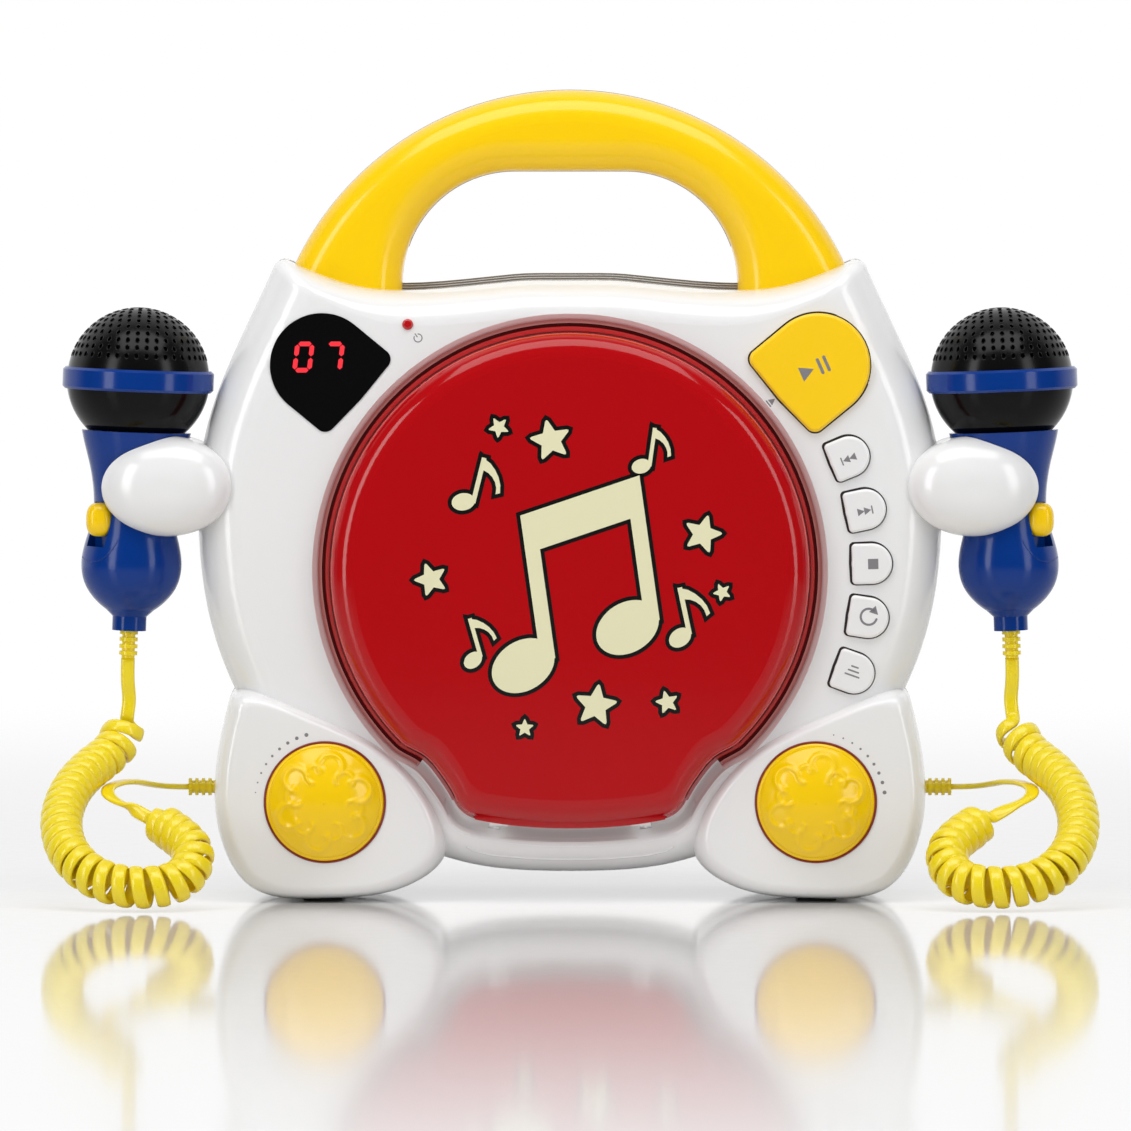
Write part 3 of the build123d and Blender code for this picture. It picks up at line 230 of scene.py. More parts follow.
def new_finish(slot):
    """Each row: colour, roughness, drift of the colour, coat, scale and strength of the grain, and
    what else the shader is given."""
    tone = settings("finish")
    rows = {
        "white_shell": (tone.white, 0.17, 0.008, 0.35, 120.0, 0.08),
        "red_gloss": (tone.red, 0.1, 0.03, 0.25, 90.0, 0.05, {"Specular IOR Level": 0.3}),
        "yellow_gloss": (tone.yellow, 0.2, 0.02, 0.25, 140.0, 0.08,
                         {"Specular IOR Level": 0.35, "Subsurface Weight": 0.05}),
        "yellow_matte": (tone.yellow, 0.32, 0.02, 0.1, 700.0, 0.12),
        "yellow_cord": (tone.cord, 0.28, 0.03, 0.4, 1200.0, 0.1, {"Subsurface Weight": 0.08}),
        "blue_plastic": (tone.blue, 0.16, 0.04, 0.05, 160.0, 0.08, {"Specular IOR Level": 0.28}),
        "black_gloss": (shade(7, 7, 8), 0.14, 0.1, 0.0, 120.0, 0.06, {"Specular IOR Level": 0.16}),
        "black_head": (shade(10, 10, 11), 0.2, 0.1, 0.0, 900.0, 0.1, {"Specular IOR Level": 0.22}),
        "black_plastic": (shade(30, 30, 32), 0.55, 0.1, 0.0, 1500.0, 0.3),
        "dark_window": (shade(3, 3, 4), 0.08, 0.1, 0.0, 60.0, 0.03),
        "red_lens": (shade(206, 8, 16), 0.12, 0.05, 0.6, 200.0, 0.05, {"Subsurface Weight": 0.3}),
        "lens_glass": (shade(150, 170, 200), 0.04, 0.02, 0.4, 60.0, 0.02, {"Transmission Weight": 0.8}),
        "steel": (shade(176, 178, 180), 0.28, 0.06, 0.0, 1800.0, 0.2, {"Metallic": 1.0}),
        "zinc_plate": (shade(170, 173, 176), 0.42, 0.1, 0.0, 500.0, 0.25, {"Metallic": 0.9}),
        "board": (shade(52, 96, 44), 0.5, 0.12, 0.0, 900.0, 0.3),
        "rubber": (shade(42, 42, 43), 0.8, 0.1, 0.0, 2200.0, 0.5),
        "ink": (tone.ink, 0.5, 0.08, 0.0, 2000.0, 0.1),
        "picture_black": (shade(5, 5, 5), 0.2, 0.1, 0.3, 400.0, 0.05),
        "picture_cream": (settings("lid").cream, 0.2, 0.02, 0.4, 400.0, 0.05),
        "seam": (shade(120, 112, 104), 0.6, 0.1, 0.0, 900.0, 0.2),
        # painted highlight: the lighter red of the bead round the lid
        "bead_highlight": (shade(226, 104, 98), 0.15, 0.05, 0.4, 600.0, 0.05),
        # painted shade: dark red on the lid's turned-down edge and in the gap round the lid
        "dark_red_shade": (shade(78, 10, 10), 0.6, 0.08, 0.0, 300.0, 0.08, {"Specular IOR Level": 0.1}),
        # painted shadow: the dark outlines round the buttons
        "gap": (shade(34, 24, 24), 0.6, 0.08, 0.0, 300.0, 0.05),
        # painted reflection: the lid's red seen on the white recess round it, strong and faint
        "rose": (shade(226, 150, 144), 0.6, 0.04, 0.0, 200.0, 0.05),
        "blush": (shade(252, 240, 238), 0.5, 0.02, 0.0, 200.0, 0.05),
        "chin": (tone.white, 0.5, 0.02, 0.0, 200.0, 0.05),
        # painted shade: the dark red ring in the gap round each knob
        "knob_gap_shade": (shade(128, 26, 6), 0.3, 0.08, 0.2, 300.0, 0.08),
        "lit_red": (shade(226, 40, 52), 0.4, 0.05, 0.0, 900.0, 0.05,
                    {"Emission Color": (*shade(236, 36, 52), 1), "Emission Strength": 0.45}),
    }
    return moulded(slot, *rows[slot])


# ------------------------------------------------------------------ pieces
def piece(name, mesh, body, slot, material=None, crease=40.0):
    """Puts a mesh in the scene as a piece that rides on a body, smooth but for its sharp edges."""
    if not mesh.materials:
        mesh.materials.append(material or finish(slot))
    mesh.polygons.foreach_set("use_smooth", [True] * len(mesh.polygons))
    mesh.set_sharp_from_angle(angle=math.radians(crease))
    thing = bpy.data.objects.new(name, mesh)
    bpy.context.scene.collection.objects.link(thing)
    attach(thing, body)
    return thing


def mesh_of(name, places, faces):
    mesh = bpy.data.meshes.new(name)
    mesh.from_pydata([tuple(place) for place in places], [], faces)
    mesh.update()
    return mesh


def from_bmesh(name, form):
    bmesh.ops.recalc_face_normals(form, faces=form.faces)
    mesh = bpy.data.meshes.new(name)
    form.to_mesh(mesh)
    form.free()
    return mesh


def turns(steps):
    """Cosine and sine of each step of a whole turn."""
    return [(math.cos(2 * math.pi * step / steps), math.sin(2 * math.pi * step / steps))
            for step in range(steps)]


def joined(form, low, high):
    """Faces between two closed rings of corners, of which one may be a single point."""
    steps = max(len(low), len(high))
    for step in range(steps):
        after = (step + 1) % steps
        corners = [low[step % len(low)], low[after % len(low)],
                   high[after % len(high)], high[step % len(high)]]
        form.faces.new(list(dict.fromkeys(corners)))


def level_ring(form, radius, height, steps):
    """Corners round Z at a height, or the one on the axis where the radius is nothing."""
    if radius < 1e-7:
        return [form.verts.new((0, 0, height))]
    return [form.verts.new((radius * across, radius * along, height)) for across, along in turns(steps)]


def spun(profile, steps):
    """A closed form turned about Z from (radius, height) points that start and end on the axis."""
    form = bmesh.new()
    rings = [level_ring(form, radius, height, steps) for radius, height in profile]
    for low, high in zip(rings, rings[1:]):
        joined(form, low, high)
    return form


def middle(node_name):
    low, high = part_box(node_name)
    return (low + high) / 2


# ------------------------------------------------------------------ node trees for what repeats
def new_tree(name, inputs):
    """An empty node tree that takes and gives geometry, with the named inputs besides."""
    tree = bpy.data.node_groups.new(name, "GeometryNodeTree")
    tree.interface.new_socket("Geometry", in_out="INPUT", socket_type="NodeSocketGeometry")
    for label, kind, default in inputs:
        socket = tree.interface.new_socket(label, in_out="INPUT", socket_type="NodeSocket" + kind)
        if default is not None:
            socket.default_value = default
    tree.interface.new_socket("Geometry", in_out="OUTPUT", socket_type="NodeSocketGeometry")
    return tree, tree.nodes.new("NodeGroupInput"), tree.nodes.new("NodeGroupOutput")


def baked(name, mesh, tree, values):
    """The plain mesh that a tree makes of a mesh, with its inputs set by identifier."""
    holder = bpy.data.objects.new(name, mesh)
    bpy.context.scene.collection.objects.link(holder)
    modifier = holder.modifiers.new(tree.name, "NODES")
    modifier.node_group = tree
    for item in tree.interface.items_tree:
        if item.item_type == "SOCKET" and item.in_out == "INPUT" and item.name in values:
            modifier[item.identifier] = values[item.name]
    depsgraph = bpy.context.evaluated_depsgraph_get()
    result = bpy.data.meshes.new_from_object(holder.evaluated_get(depsgraph), depsgraph=depsgraph)
    result.name = name
    holder.modifiers.remove(modifier)
    bpy.data.objects.remove(holder)
    return result


def copies_tree():
    """One copy of an object at every point, its Z along the point's own direction."""
    inputs = [("Copy", "Object", None), ("Material", "Material", None)]
    tree, given, made = new_tree("copies_on_points", inputs)
    copy = node(tree, "GeometryNodeObjectInfo", {"Object": given.outputs["Copy"]})
    heading = node(tree, "GeometryNodeInputNamedAttribute", {"Name": "heading"}, data_type="FLOAT_VECTOR")
    turn = node(tree, "FunctionNodeAlignRotationToVector", {"Vector": heading.outputs["Attribute"]},
                axis="Z")
    placed = node(tree, "GeometryNodeInstanceOnPoints",
                  {"Points": given.outputs["Geometry"], "Instance": copy.outputs["Geometry"],
                   "Rotation": turn.outputs["Rotation"]})
    real = node(tree, "GeometryNodeRealizeInstances", {"Geometry": placed.outputs["Instances"]})
    dressed = node(tree, "GeometryNodeSetMaterial", {"Geometry": real.outputs["Geometry"],
                                                     "Material": given.outputs["Material"]})
    tree.links.new(dressed.outputs["Geometry"], made.inputs["Geometry"])
    return tree


def perforation_tree():
    """Drills a round, rimmed hole through a shell at every point; the points lie round the origin."""
    inputs = [("Shell", "Object", None), ("Hole Radius", "Float", 0.0007), ("Depth", "Float", 0.004),
              ("Rim", "Float", 0.00011), ("Height", "Float", 1.4), ("Sides", "Int", 12),
              ("Material", "Material", None)]
    tree, given, made = new_tree("perforation", inputs)
    shell = node(tree, "GeometryNodeObjectInfo", {"Object": given.outputs["Shell"]})
    outward = node(tree, "GeometryNodeInputPosition")
    turn = node(tree, "FunctionNodeAlignRotationToVector", {"Vector": outward.outputs["Position"]},
                axis="Z")
    turn = node(tree, "FunctionNodeAlignRotationToVector",
                {"Rotation": turn.outputs["Rotation"], "Vector": (0, 0, 1)}, axis="Y", pivot_axis="Z")
    long = node(tree, "ShaderNodeCombineXYZ", {"X": 1.0, "Y": given.outputs["Height"], "Z": 1.0})
    drill = node(tree, "GeometryNodeMeshCylinder",
                 {"Vertices": given.outputs["Sides"], "Radius": given.outputs["Hole Radius"],
                  "Depth": given.outputs["Depth"]})
    drills = node(tree, "GeometryNodeInstanceOnPoints",
                  {"Points": given.outputs["Geometry"], "Instance": drill.outputs["Mesh"],
                   "Rotation": turn.outputs["Rotation"], "Scale": long.outputs["Vector"]})
    drills = node(tree, "GeometryNodeRealizeInstances", {"Geometry": drills.outputs["Instances"]})
    drilled = node(tree, "GeometryNodeMeshBoolean", operation="DIFFERENCE", solver="MANIFOLD")
    tree.links.new(shell.outputs["Geometry"], drilled.inputs["Mesh 1"])
    tree.links.new(drills.outputs["Geometry"], drilled.inputs["Mesh 2"])
    edge = node(tree, "GeometryNodeCurvePrimitiveCircle",
                {"Resolution": given.outputs["Sides"], "Radius": given.outputs["Hole Radius"]})
    wire = node(tree, "GeometryNodeCurvePrimitiveCircle", {"Resolution": 5, "Radius": given.outputs["Rim"]})
    rim = node(tree, "GeometryNodeCurveToMesh", {"Curve": edge.outputs["Curve"],
                                                 "Profile Curve": wire.outputs["Curve"]})
    rims = node(tree, "GeometryNodeInstanceOnPoints",
                {"Points": given.outputs["Geometry"], "Instance": rim.outputs["Mesh"],
                 "Rotation": turn.outputs["Rotation"], "Scale": long.outputs["Vector"]})
    joined = node(tree, "GeometryNodeJoinGeometry")
    tree.links.new(rims.outputs["Instances"], joined.inputs["Geometry"])
    tree.links.new(drilled.outputs["Mesh"], joined.inputs["Geometry"])
    real = node(tree, "GeometryNodeRealizeInstances", {"Geometry": joined.outputs["Geometry"]})
    dressed = node(tree, "GeometryNodeSetMaterial", {"Geometry": real.outputs["Geometry"],
                                                     "Material": given.outputs["Material"]})
    tree.links.new(dressed.outputs["Geometry"], made.inputs["Geometry"])
    return tree


# ------------------------------------------------------------------ flat marks laid on a surface
MARK_STEP = 0.005 * MM
MARK_DEPTH = 0.05 * MM
RIBBON_DEPTH = 0.06 * MM


def surface_of(node_name):
    """What a mark is laid on: a search tree of the node's own faces."""
    mesh = frame["nodes"][node_name].data
    places = [vertex.co for vertex in mesh.vertices]
    return BVHTree.FromPolygons(places, [polygon.vertices for polygon in mesh.polygons])


def laid(surface, x, z, proud, fallback):
    """The point at x, z that stands proud of the surface's front."""
    hit = surface.ray_cast(Vector((x, -1, z)), Vector((0, 1, 0)))[0]
    return Vector((x, (hit.y if hit else fallback) - proud, z))


def printed(name, outlines, node_name, body, slot, proud, material, reach=0.0):
    """Thin flat shapes on the front of a node; each outline is a list of (x, z) points.

    Shapes that follow each other may cross, so they lie at slightly different heights. A reach
    reads the surface that far outside the outline, for shapes that close over an opening.
    """
    surface = surface_of(node_name)
    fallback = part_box(node_name)[0].y
    places, faces = [], []
    for count, outline in enumerate(outlines):
        start, size = len(places), len(outline)
        centre = sum((Vector(spot) for spot in outline), Vector((0, 0))) / size
        top = []
        for x, z in outline:
            out = Vector((x, z)) + (Vector((x, z)) - centre).normalized() * reach
            height = laid(surface, out.x, out.y, proud + MARK_STEP * (count % 4), fallback).y
            top.append(Vector((x, height, z)))
        places += top + [place + Vector((0, MARK_DEPTH, 0)) for place in top]
        flat = tessellate_polygon([[Vector((x, z, 0)) for x, z in outline]])
        faces += [[start + corner for corner in face] for face in flat]
        faces += [[start + size + corner for corner in reversed(face)] for face in flat]
        for here in range(size):
            after = (here + 1) % size
            faces.append([start + here, start + after, start + size + after, start + size + here])
    form = bmesh.new()
    form.from_mesh(mesh_of(name, places, faces))
    return piece(name, from_bmesh(name, form), body, slot, material, 30.0)


def ribbon(name, rows, body, slot, material):
    """A thin open strip through rows of points across it, thickened towards the back."""
    form = bmesh.new()
    through = Vector((0, RIBBON_DEPTH, 0))
    last = len(rows[0]) - 1
    fronts = [[form.verts.new(place) for place in row] for row in rows]
    backs = [[form.verts.new(place + through) for place in row] for row in rows]
    for (front, next_front), (back, next_back) in zip(zip(fronts, fronts[1:]), zip(backs, backs[1:])):
        for step in range(last):
            form.faces.new((front[step], front[step + 1], next_front[step + 1], next_front[step]))
            form.faces.new((back[step], next_back[step], next_back[step + 1], back[step + 1]))
        for edge in (0, last):
            form.faces.new((front[edge], next_front[edge], next_back[edge], back[edge]))
    for front, back in ((fronts[0], backs[0]), (fronts[-1], backs[-1])):
        for step in range(last):
            form.faces.new((front[step], front[step + 1], back[step + 1], back[step]))
    return piece(name, from_bmesh(name, form), body, slot, material, 60.0)


def round_outline(centre, radius, squash=1.0, turn=0.0, steps=16):
    return [placed((radius * across, radius * squash * along), centre, turn)
            for across, along in turns(steps)]


def placed(point, centre, turn):
    """The point turned about the origin and carried to the centre."""
    x, z = point
    return (centre[0] + x * math.cos(turn) - z * math.sin(turn),
            centre[1] + x * math.sin(turn) + z * math.cos(turn))


def polygon(points, centre, turn=0.0):
    return [placed(point, centre, turn) for point in points]


def bar(start, end, width):
    """A straight stroke with round ends."""
    (x0, z0), (x1, z1) = start, end
    heading = math.atan2(z1 - z0, x1 - x0)
    points = []
    for centre, base in ((end, heading - math.pi / 2), (start, heading + math.pi / 2)):
        for step in range(9):
            angle = base + math.pi * step / 8
            points.append((centre[0] + width / 2 * math.cos(angle), centre[1] + width / 2 * math.sin(angle)))
    return points


def stroke(points, width):
    """A run of round-ended strokes through the points."""
    return [bar(start, end, width) for start, end in zip(points, points[1:])]


def arc_points(centre, radius, start, end, steps=24):
    """Points on an arc, its angles in degrees."""
    return [(centre[0] + radius * math.cos(math.radians(start + (end - start) * step / steps)),
             centre[1] + radius * math.sin(math.radians(start + (end - start) * step / steps)))
            for step in range(steps + 1)]


def grown(outline, amount):
    """The outline moved outwards all round, its corners kept."""
    area = sum(a[0] * b[1] - b[0] * a[1] for a, b in zip(outline, outline[1:] + outline[:1]))
    side = 1 if area > 0 else -1
    points = []
    count = len(outline)
    for here in range(count):
        before, point, after = outline[here - 1], outline[here], outline[(here + 1) % count]
        into = Vector((point[0] - before[0], point[1] - before[1])).normalized()
        out = Vector((after[0] - point[0], after[1] - point[1])).normalized()
        normal = Vector((into.y + out.y, -into.x - out.x)) * side
        normal.normalize()
        spread_out = max(normal.dot(Vector((into.y, -into.x)) * side), 0.45)
        points.append((point[0] + normal.x * amount / spread_out, point[1] + normal.y * amount / spread_out))
    return points


# ------------------------------------------------------------------ cords
# Route of the left-hand cord from the microphone to the foot; the right-hand one mirrors it.
LEAD = [(-0.13764, -0.0250, 0.07546), (-0.13789, -0.0250, 0.06897), (-0.13720, -0.02376, 0.06278)]
COIL = [(-0.1378, -0.0251, 0.0580), (-0.1386, -0.0269, 0.0516), (-0.1430, -0.0320, 0.0458),
        (-0.1498, -0.0398, 0.0412), (-0.1552, -0.0488, 0.0348), (-0.1574, -0.0584, 0.0268),
        (-0.1554, -0.0676, 0.0186), (-0.1488, -0.0750, 0.0116), (-0.1394, -0.0794, 0.0080),
        (-0.1288, -0.0804, 0.0073), (-0.1184, -0.0774, 0.0094), (-0.1146, -0.0708, 0.0174),
        (-0.1216, -0.0640, 0.0236), (-0.1310, -0.0584, 0.0282)]
TAIL = [(-0.13615, -0.05533, 0.03072), (-0.1426, -0.0506, 0.0334), (-0.1436, -0.0420, 0.0358),
        (-0.1402, -0.0322, 0.0370), (-0.1354, -0.0224, 0.0368), (-0.1314, -0.0134, 0.0354),
        (-0.1259, -0.0060, 0.0342), (-0.1194, -0.0060, 0.0342)]
# How far apart the turns are, as shares of the coil's length and gaps in metres.
GAPS = [(0.0, 0.0068), (0.10, 0.0058), (0.17, 0.0040), (0.45, 0.0040), (0.54, 0.0056), (0.70, 0.0058),
        (0.79, 0.0042), (1.0, 0.0039)]


def route_line(points):
    """Closely spaced points of the smooth line that a route's points draw."""
    curve = bpy.data.curves.new("route", "CURVE")
    curve.dimensions = "3D"
    curve.resolution_u = 24
    spline = curve.splines.new("NURBS")
    spline.points.add(len(points) - 1)
    for knot, place in zip(spline.points, points):
        knot.co = (*place, 1)
    spline.order_u = 3
    spline.use_endpoint_u = True
    holder = bpy.data.objects.new("route", curve)
    bpy.context.scene.collection.objects.link(holder)
    depsgraph = bpy.context.evaluated_depsgraph_get()
    line = bpy.data.meshes.new_from_object(holder.evaluated_get(depsgraph), depsgraph=depsgraph)
    places = [vertex.co.copy() for vertex in line.vertices]
    bpy.data.objects.remove(holder)
    bpy.data.curves.remove(curve)
    bpy.data.meshes.remove(line)
    return places


class Line:
    """A line through space with a frame that doesn't twist, looked up by length along it."""

    def __init__(self, places, side):
        self.places = [places[0]]
        for place in places[1:]:
            if (place - self.places[-1]).length > 1e-7:
                self.places.append(place)
        self.lengths = [0.0]
        for before, place in zip(self.places, self.places[1:]):
            self.lengths.append(self.lengths[-1] + (place - before).length)
        self.length = self.lengths[-1]
        self.tangents = []
        last = len(self.places) - 1
        for here in range(last + 1):
            low, high = max(here - 1, 0), min(here + 1, last)
            self.tangents.append((self.places[high] - self.places[low]).normalized())
        self.sides = []
        for tangent in self.tangents:
            side = (side - tangent * side.dot(tangent)).normalized()
            self.sides.append(side)

    def at(self, length):
        """Place, tangent and side at a length along the line."""
        low, high = 0, len(self.lengths) - 1
        while high - low > 1:
            half = (low + high) // 2
            low, high = (half, high) if self.lengths[half] <= length else (low, half)
        share = (length - self.lengths[low]) / (self.lengths[high] - self.lengths[low])
        share = min(max(share, 0.0), 1.0)
        found = [rows[low].lerp(rows[high], share) for rows in (self.places, self.tangents, self.sides)]
        return found[0], found[1].normalized(), found[2].normalized()

    def nearest(self, point):
        """Length along the line of its point nearest to a point."""
        gaps = [(place - point).length for place in self.places]
        return self.lengths[gaps.index(min(gaps))]


def eased(share):
    share = min(max(share, 0.0), 1.0)
    return share * share * (3 - 2 * share)


def read_table(table, share):
    for (low, first), (high, second) in zip(table, table[1:]):
        if share <= high:
            return first + (second - first) * eased((share - low) / (high - low))
    return table[-1][1]


def curly_path(line, start, end, closeness):
    """Points of a cord that runs along the line and winds round it between start and end."""
    size = settings("cord")
    per_turn, ramp = 26, 0.008
    path, outward = [], []
    plain_step = 1.2 * MM
    length, phase = 0.0, math.pi / 2
    while length < line.length:
        place, tangent, side = line.at(length)
        inside = start < length < end
        radius = 0.0
        if inside:
            share = (length - start) / (end - start)
            swell = eased((length - start) / ramp) * eased((end - length) / ramp)
            radius = size.coil_radius * swell * (1 + size.first_turn * eased(1 - share / 0.09))
        out = side * math.cos(phase) + tangent.cross(side) * math.sin(phase)
        if length >= end:
            upright = Vector((0, 0, 1)) - tangent * tangent.z
            out = out.lerp(upright.normalized(), eased((length - end) / 0.012)).normalized()
        path.append(place + out * radius)
        outward.append(out)
        if inside:
            gap = read_table(GAPS, share) / closeness
            phase += 2 * math.pi / per_turn * swell
            length += gap / per_turn
        else:
            length += plain_step
    place = line.at(line.length)[0]
    if (place - path[-1]).length < plain_step / 2:
        path.pop()
        outward.pop()
    path.append(place)
    outward.append(outward[-1])
    return path, outward


def path_length(path):
    return sum((after - before).length for before, after in zip(path, path[1:]))


def flat_cord_mesh(name, path, outward, width, thickness, sides=14):
    """A tube of rounded flat section along a path, its thin way turned towards outward."""
    places, faces = [], []
    last = len(path) - 1
    for here, centre in enumerate(path):
        tangent = (path[min(here + 1, last)] - path[max(here - 1, 0)]).normalized()
        thin = (outward[here] - tangent * outward[here].dot(tangent)).normalized()
        wide = tangent.cross(thin)
        for step in range(sides):
            turn = 2 * math.pi * step / sides
            across, through = math.cos(turn), math.sin(turn)
            across = math.copysign(abs(across) ** 0.82, across)
            through = math.copysign(abs(through) ** 0.82, through)
            places.append(centre + wide * across * width / 2 + thin * through * thickness / 2)
    for here in range(last):
        low, high = here * sides, (here + 1) * sides
        for step in range(sides):
            after = (step + 1) % sides
            faces.append([low + step, low + after, high + after, high + step])
    faces.append(list(range(sides)))
    faces.append([last * sides + step for step in range(sides)])
    form = bmesh.new()
    form.from_mesh(mesh_of(name, places, faces))
    return from_bmesh(name, form)


class KARAOKE_OT_cords(Operator):
    """Winds the two curly cords from the microphones to the feet"""
    bl_idname = "karaoke.cords"
    bl_label = "Curly cords"

    def execute(self, context):
        size = settings("cord")
        for word, side in SIDES:
            route = [Vector((-side * x, y, z)) for x, y, z in LEAD + COIL + TAIL]
            line = Line(route_line(route), Vector((side, 0, 0)))
            start, end = line.nearest(route[len(LEAD)]), line.nearest(route[len(LEAD + COIL) - 1])
            closeness = 1.0
            for _ in range(6):
                path, outward = curly_path(line, start, end, closeness)
                coiled = path_length(path) - (line.length - end + start)
                closeness *= (size.length - (line.length - end + start)) / coiled
            path, outward = curly_path(line, start, end, closeness)
            mesh = flat_cord_mesh(f"curly_cord_{word}", path, outward, size.width, size.thickness)
            mesh.materials.append(finish("yellow_cord"))
            mesh.polygons.foreach_set("use_smooth", [True] * len(mesh.polygons))
            cord = bpy.data.objects.new(f"curly_cord_{word}", mesh)
            context.scene.collection.objects.link(cord)
            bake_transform(cord)
            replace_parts(cord, f"cord_coil_{word}", f"cord_tubes_{word}")
        return {"FINISHED"}


# ------------------------------------------------------------------ microphones
def mic_axis(word):
    """A microphone's middle, at its band, and the direction of its axis, up from the cord."""
    centre = middle(f"mic_band_{word}")
    return centre, (centre - middle(f"mic_relief_{word}")).normalized()


def set_on_axis(mesh, centre, axis):
    """Carries a mesh drawn about Z to a microphone's own axis."""
    turn = Vector((0, 0, 1)).rotation_difference(axis).to_matrix().to_4x4()
    mesh.transform(Matrix.Translation(centre) @ turn)
    return mesh


def head_radius(word):
    low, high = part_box(f"mic_grille_{word}")
    return (high.y - low.y) / 2


def hole_points(radius, size):
    """Middles of the holes, in level rows round the dome, each row with a hole in line with the front."""
    points = []
    angle = size.first_row
    while angle < math.pi / 2 - 0.05:
        ring = radius * math.cos(angle)
        count = max(round(2 * math.pi * ring / size.hole_gap), 1)
        for hole in range(count):
            turn = 2 * math.pi * hole / count - math.pi / 2
            points.append(Vector((ring * math.cos(turn), ring * math.sin(turn), radius * math.sin(angle))))
        angle += size.row_gap / radius
    points.append(Vector((0, 0, radius)))
    return points


def dome(radius, low, rows=30):
    """Heights and radii of a dome from its open rim at a height up to its top."""
    first = math.asin(low / radius)
    angles = [first + (math.pi / 2 - first) * row / rows for row in range(rows + 1)]
    return [(radius * math.cos(angle), radius * math.sin(angle)) for angle in angles]


class KARAOKE_OT_heads(Operator):
    """Makes the perforated heads of the microphones and the foam inside them"""
    bl_idname = "karaoke.heads"
    bl_label = "Microphone heads"

    def execute(self, context):
        size = settings("head")
        tree = perforation_tree()
        for word, _ in SIDES:
            radius = head_radius(word)
            centre, axis = mic_axis(word)
            ball = centre + axis * 0.3 * MM
            low = (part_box(f"mic_band_{word}")[1].z - ball.z) - 1.2 * MM
            outer = dome(radius, low)
            inner = dome(radius - size.wall, low)
            shell = spun_shell(outer, inner)
            holder = bpy.data.objects.new("shell", shell)
            context.scene.collection.objects.link(holder)
            points = mesh_of("holes", hole_points(radius, size), [])
            mesh = baked(f"mic_mesh_{word}", points, tree,
                         {"Shell": holder, "Hole Radius": size.hole_radius,
                          "Height": size.hole_height, "Material": finish("black_head")})
            bpy.data.objects.remove(holder)
            grille = piece(f"mic_mesh_{word}", set_on_axis(mesh, ball, axis), f"mic_{word}", "black_head")
            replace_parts(grille, f"mic_grille_{word}")
            foam_radius, floor = radius - 1.4 * MM, low + 0.2 * MM
            lining = spun([(0, floor), (math.sqrt(foam_radius ** 2 - low ** 2), floor)]
                          + dome(foam_radius, low + 0.3 * MM)[1:-1] + [(0, foam_radius)], 64)
            foam = set_on_axis(from_bmesh(f"mic_foam_{word}", lining), ball, axis)
            piece(f"mic_foam_{word}", foam, f"mic_{word}", "black_plastic")
        return {"FINISHED"}


def spun_shell(outer, inner, steps=120):
    """A dome with a wall: its outside and its inside, closed by a flat rim."""
    form = bmesh.new()
    rims = []
    for profile in (outer, inner):
        rows = [level_ring(form, radius, height, steps) for radius, height in profile[:-1]]
        rows.append([form.verts.new((0, 0, profile[-1][1]))])
        for low, high in zip(rows, rows[1:]):
            joined(form, low, high)
        rims.append(rows[0])
    joined(form, *rims)
    return from_bmesh("shell", form)


# The raised curve on the left-hand microphone's bulb, in millimetres.
CRESCENT = [(-151.6, 107.0), (-150.2, 106.2), (-148.6, 105.8), (-147.0, 105.9), (-145.6, 106.4),
            (-144.2, 107.3), (-143.0, 108.5), (-141.9, 109.8), (-141.0, 111.2), (-140.2, 112.8)]


class KARAOKE_OT_mic_details(Operator):
    """Adds the raised curve on each microphone's bulb and its smooth slide switch"""
    bl_idname = "karaoke.mic_details"
    bl_label = "Microphone details"

    def execute(self, context):
        for word, side in SIDES:
            surface = surface_of(f"mic_handle_{word}")
            line = [laid(surface, -side * x * MM, z * MM, 0.0, -0.04) for x, z in CRESCENT]
            piece(f"mic_curve_{word}", wire_mesh(f"mic_curve_{word}", line, 0.26 * MM, False, 8),
                  f"mic_{word}", "blue_plastic")
            low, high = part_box(f"mic_switch_{word}")
            centre, half = (low + high) / 2, (high - low) / 2
            form = bmesh.new()
            bmesh.ops.create_icosphere(form, subdivisions=5, radius=1.0)
            for vertex in form.verts:
                place = vertex.co.normalized()
                reach = sum(abs(part) ** 2.7 for part in place) ** (-1 / 2.7)
                vertex.co = centre + Vector([place[axis] * reach * half[axis] for axis in range(3)])
            switch = piece(f"mic_slide_{word}", from_bmesh(f"mic_slide_{word}", form), f"mic_switch_{word}",
                           "yellow_gloss")
            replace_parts(switch, f"mic_switch_{word}")
        return {"FINISHED"}


# ------------------------------------------------------------------ lid picture
def star_outline(centre, radius, turn, points=5, waist=0.5):
    outline = []
    for corner in range(points):
        for share, reach in ((-0.06, 0.94), (0.0, 1.0), (0.06, 0.94)):
            angle = math.pi / 2 + 2 * math.pi * (corner + share) / points
            outline.append((radius * reach * math.cos(angle), radius * reach * math.sin(angle)))
        angle = math.pi / 2 + 2 * math.pi * (corner + 0.5) / points
        outline.append((radius * waist * math.cos(angle), radius * waist * math.sin(angle)))
    return polygon(outline, centre, turn)


def note_head(centre, size, turn):
    return round_outline(centre, size, 0.74, turn + math.radians(24), 44)


def single_note(centre, size, turn):
    """Outlines of a quaver: head, stem and flag."""
    stem_x, top = size * 0.84, size * 4.1
    stem = [(stem_x - size * 0.2, 0.1 * size), (stem_x + size * 0.2, 0.1 * size),
            (stem_x + size * 0.2, top), (stem_x - size * 0.2, top)]
    flag = [(stem_x - size * 0.16, top), (stem_x - size * 0.16, top - size * 1.1)]
    for shares, across, start, drop, power in (((0.0, 0.2, 0.4, 0.6, 0.8, 1.0), 1.5, 1.05, 1.75, 1.6),
                                               ((0.95, 0.75, 0.55, 0.35, 0.15), 1.85, 0.1, 2.7, 1.3)):
        flag += [(stem_x + size * (0.2 + across * math.sin(math.pi / 2 * share)),
                  top - size * (start + drop * share ** power)) for share in shares]
    return [polygon(outline, centre, turn) for outline in (note_head((0.0, 0.0), size, 0.0), stem, flag)]


